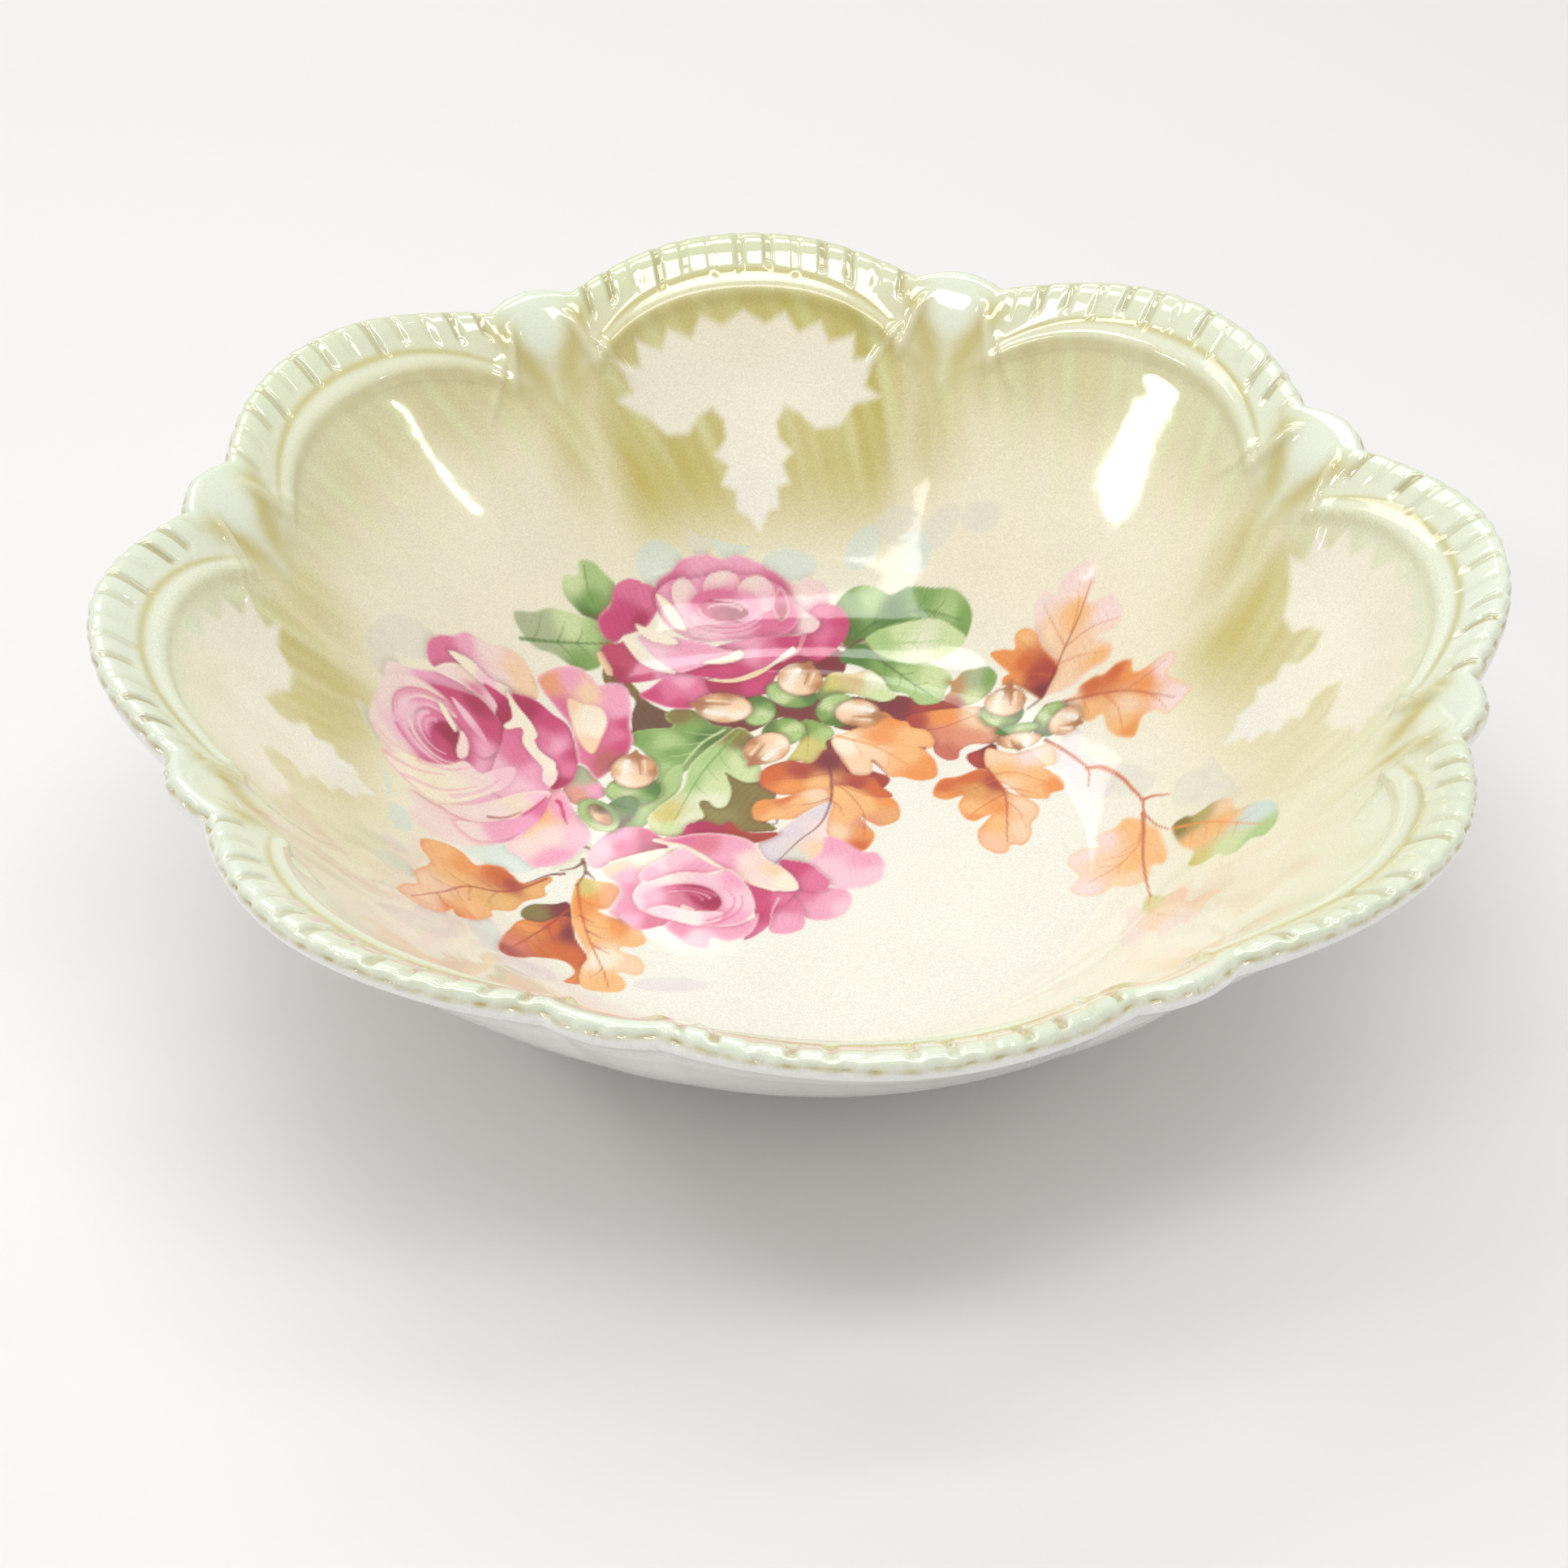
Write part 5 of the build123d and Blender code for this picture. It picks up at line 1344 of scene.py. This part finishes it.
def stencil_painter(name):
    """Painter of one leaf that a stencil kept clear of the sprayed olive, with soft edges."""
    def painter(p):
        """Clear film round the leaf, and the toothed leaf on it."""
        p.start(name)
        p.oval((0, 101), (32, 19), 0, [(0, 100, WELL)], strength=0)
        p.shape(STENCIL_LEAF, [(0, 117, BEIGE), (0, 100, STENCIL_CREAM), (0, 86, WELL)], shadow=0, soft=1.6,
                streak=0, per_span=1)
    return painter


# ---- materials --------------------------------------------------------------
GLAZE_IOR = 1.62
LUSTRE_IOR = 1.9
SPECK_SCALE = 2600.0         # sprayed specks about 0.4 mm across
CLOUD_SCALE = 45.0
CLOUD_SPAN = (0.975, 1.02)
RIPPLE_SCALE = 260.0


def node(tree, kind, place, **values):
    """Shader node with some of its inputs or settings set."""
    made = tree.nodes.new(kind)
    made.location = place
    for key, value in values.items():
        if key in made.inputs:
            made.inputs[key].default_value = value
        else:
            setattr(made, key, value)
    return made


def map_range(tree, place, source, from_span, to_span):
    """Output of a node that takes one span of values to another."""
    made = node(tree, "ShaderNodeMapRange", place)
    for socket, value in zip(("From Min", "From Max", "To Min", "To Max"), (*from_span, *to_span)):
        made.inputs[socket].default_value = value
    tree.links.new(source, made.inputs["Value"])
    return made.outputs[0]


def glazed_material(name, stipple, rough, lustre=0.0, colour=None):
    """Painted or plain colour under a glossy glaze, with sprayed specks and a slightly uneven surface."""
    material = bpy.data.materials.new(name)
    material.use_nodes = True
    tree = material.node_tree
    tree.nodes.clear()
    link = tree.links.new
    out = node(tree, "ShaderNodeOutputMaterial", (900, 0))
    shader = node(tree, "ShaderNodeBsdfPrincipled", (600, 0))
    shader.inputs["IOR"].default_value = GLAZE_IOR
    shader.inputs["Coat Weight"].default_value = lustre
    shader.inputs["Coat Roughness"].default_value = 0.05
    shader.inputs["Coat IOR"].default_value = LUSTRE_IOR
    link(shader.outputs[0], out.inputs[0])

    if colour is None:
        paint = node(tree, "ShaderNodeAttribute", (-600, 200), attribute_name="paint")
    else:
        paint = node(tree, "ShaderNodeRGB", (-600, 200))
        paint.outputs["Color"].default_value = (*colour, 1)
    place = node(tree, "ShaderNodeTexCoord", (-1000, -100))
    specks = node(tree, "ShaderNodeTexNoise", (-800, 0), Scale=SPECK_SCALE, Detail=2.0)
    cloud = node(tree, "ShaderNodeTexNoise", (-800, -250), Scale=CLOUD_SCALE, Detail=3.0)
    link(place.outputs["Object"], specks.inputs["Vector"])
    link(place.outputs["Object"], cloud.inputs["Vector"])
    tone = node(tree, "ShaderNodeMath", (-300, -100), operation="MULTIPLY")
    speck_span = (1 - stipple, 1 + stipple)
    link(map_range(tree, (-550, -50), specks.outputs["Fac"], (0.35, 0.65), speck_span), tone.inputs[0])
    link(map_range(tree, (-550, -300), cloud.outputs["Fac"], (0.3, 0.7), CLOUD_SPAN), tone.inputs[1])
    tint = node(tree, "ShaderNodeVectorMath", (0, 150), operation="SCALE")
    link(paint.outputs["Color"], tint.inputs[0])
    link(tone.outputs[0], tint.inputs["Scale"])
    link(tint.outputs[0], shader.inputs["Base Color"])

    rough_span = (rough * 0.8, rough * 1.25)
    link(map_range(tree, (0, -300), cloud.outputs["Fac"], (0.3, 0.7), rough_span), shader.inputs["Roughness"])
    ripple = node(tree, "ShaderNodeTexNoise", (-300, -500), Scale=RIPPLE_SCALE, Detail=1.0)
    link(place.outputs["Object"], ripple.inputs["Vector"])
    uneven = node(tree, "ShaderNodeBump", (300, -400), Strength=0.06, Distance=0.0004)
    link(ripple.outputs["Fac"], uneven.inputs["Height"])
    link(uneven.outputs[0], shader.inputs["Normal"])
    return material


# ---- camera, light and floor ------------------------------------------------
VIEW_TURN = -7.2             # the photograph's camera stands this far round from -Y, degrees
VIEW_ELEVATION = 38.569
VIEW_ROLL = 0.924
VIEW_DISTANCE = 516.4        # mm
VIEW_AIM = (-4.19, -57.59, 70.0)
VIEW_LENS = 69.27


def make_camera():
    """Camera at the place, height, tilt and lens given above."""
    elevation, roll = radians(VIEW_ELEVATION), radians(VIEW_ROLL)
    turn = Matrix.Rotation(radians(VIEW_TURN), 3, "Z")
    back = Vector((0, -cos(elevation), sin(elevation)))
    right = Vector((1, 0, 0))
    up = back.cross(right)
    rolled_right = right * cos(roll) + up * sin(roll)
    rolled_up = up * cos(roll) - right * sin(roll)
    place = (Vector(VIEW_AIM) + back * VIEW_DISTANCE) * MM
    data = bpy.data.cameras.new("camera")
    data.lens = VIEW_LENS
    data.sensor_width = 36
    camera = bpy.data.objects.new("camera", data)
    axes = Matrix([turn @ rolled_right, turn @ rolled_up, turn @ back]).transposed()
    camera.matrix_world = Matrix.Translation(turn @ place) @ axes.to_4x4()
    bpy.context.scene.collection.objects.link(camera)
    bpy.context.scene.camera = camera


def softbox(name, place, aim, size, power, colour=(1, 1, 1)):
    """Rectangular soft light; sizes in metres, turned towards its aim."""
    data = bpy.data.lights.new(name, "AREA")
    data.shape = "RECTANGLE"
    data.size, data.size_y = size
    data.energy = power
    data.color = colour
    light = bpy.data.objects.new(name, data)
    direction = Vector(aim) - Vector(place)
    light.location = place
    light.rotation_euler = direction.to_track_quat("-Z", "Y").to_euler()
    bpy.context.scene.collection.objects.link(light)


def make_lights():
    """Soft lights above the front, the back and both sides, and a strip that the far border mirrors."""
    world = bpy.data.worlds.new("studio")
    world.use_nodes = True
    background = world.node_tree.nodes["Background"]
    background.inputs["Color"].default_value = (1.0, 0.99, 0.985, 1)
    background.inputs["Strength"].default_value = 0.53
    bpy.context.scene.world = world
    middle = (0, 0, 0.04)
    softbox("back_softbox", (-0.30, 0.85, 1.10), middle, (0.8, 0.6), 3.4)
    softbox("overhead_softbox", (0.02, -0.36, 1.24), middle, (1.14, 0.26), 4.3)
    softbox("border_softbox", (0.0, 0.17, 1.25), middle, (1.1, 0.15), 2.3)
    softbox("left_softbox", (-0.90, 0.0, 0.86), middle, (0.22, 0.13), 1.1)
    softbox("right_softbox", (0.89, -0.14, 0.80), middle, (0.03, 0.08), 0.15)


def make_floor():
    """Plain pale table top with a faint mottle."""
    bpy.ops.mesh.primitive_grid_add(x_subdivisions=8, y_subdivisions=8, size=4)
    floor = bpy.context.object
    floor.name = "floor"
    material = bpy.data.materials.new("table_white")
    material.use_nodes = True
    tree = material.node_tree
    shader = tree.nodes["Principled BSDF"]
    shader.inputs["Roughness"].default_value = 0.65
    mottle = node(tree, "ShaderNodeTexNoise", (-600, 0), Scale=6.0, Detail=4.0)
    tones = node(tree, "ShaderNodeValToRGB", (-350, 0))
    tones.color_ramp.elements[0].color = (*srgb(240, 238, 236), 1)
    tones.color_ramp.elements[1].color = (*srgb(245, 244, 242), 1)
    tree.links.new(mottle.outputs["Fac"], tones.inputs["Fac"])
    tree.links.new(tones.outputs["Color"], shader.inputs["Base Color"])
    floor.data.materials.append(material)


# ---- assembly ---------------------------------------------------------------
make_camera()
make_lights()
make_floor()
bpy.context.scene.view_settings.view_transform = "Standard"

glaze = glazed_material("ground_glaze", 0.07, 0.07)
bowl = bowl_mesh()
bowl.data.materials.append(glaze)
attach(bowl, "root")
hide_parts("porcelain_body", "inner_glaze", "outer_glaze")

border = lustre_mesh()
border.data.materials.append(glazed_material("pearl_lustre", 0.04, 0.06, 0.45))
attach(border, "root")
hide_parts("rim_lustre")

print_glaze = glazed_material("print_glaze", 0.06, 0.07)
film_pieces((-95, 92), (-56, 90), 0, PRINT_LIFT, spray, print_glaze, "rose_transfer")
for quarter in range(4):
    stencil = stencil_painter(f"stencil_leaf_{quarter + 1}")
    film_pieces((-33, 33), (81, 121), 90 * quarter, STENCIL_LIFT, stencil, glaze,
                "inner_glaze")

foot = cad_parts["foot_ring"]
foot.data.materials.clear()
foot.data.materials.append(glazed_material("foot_glaze", 0.02, 0.08, colour=PORCELAIN))
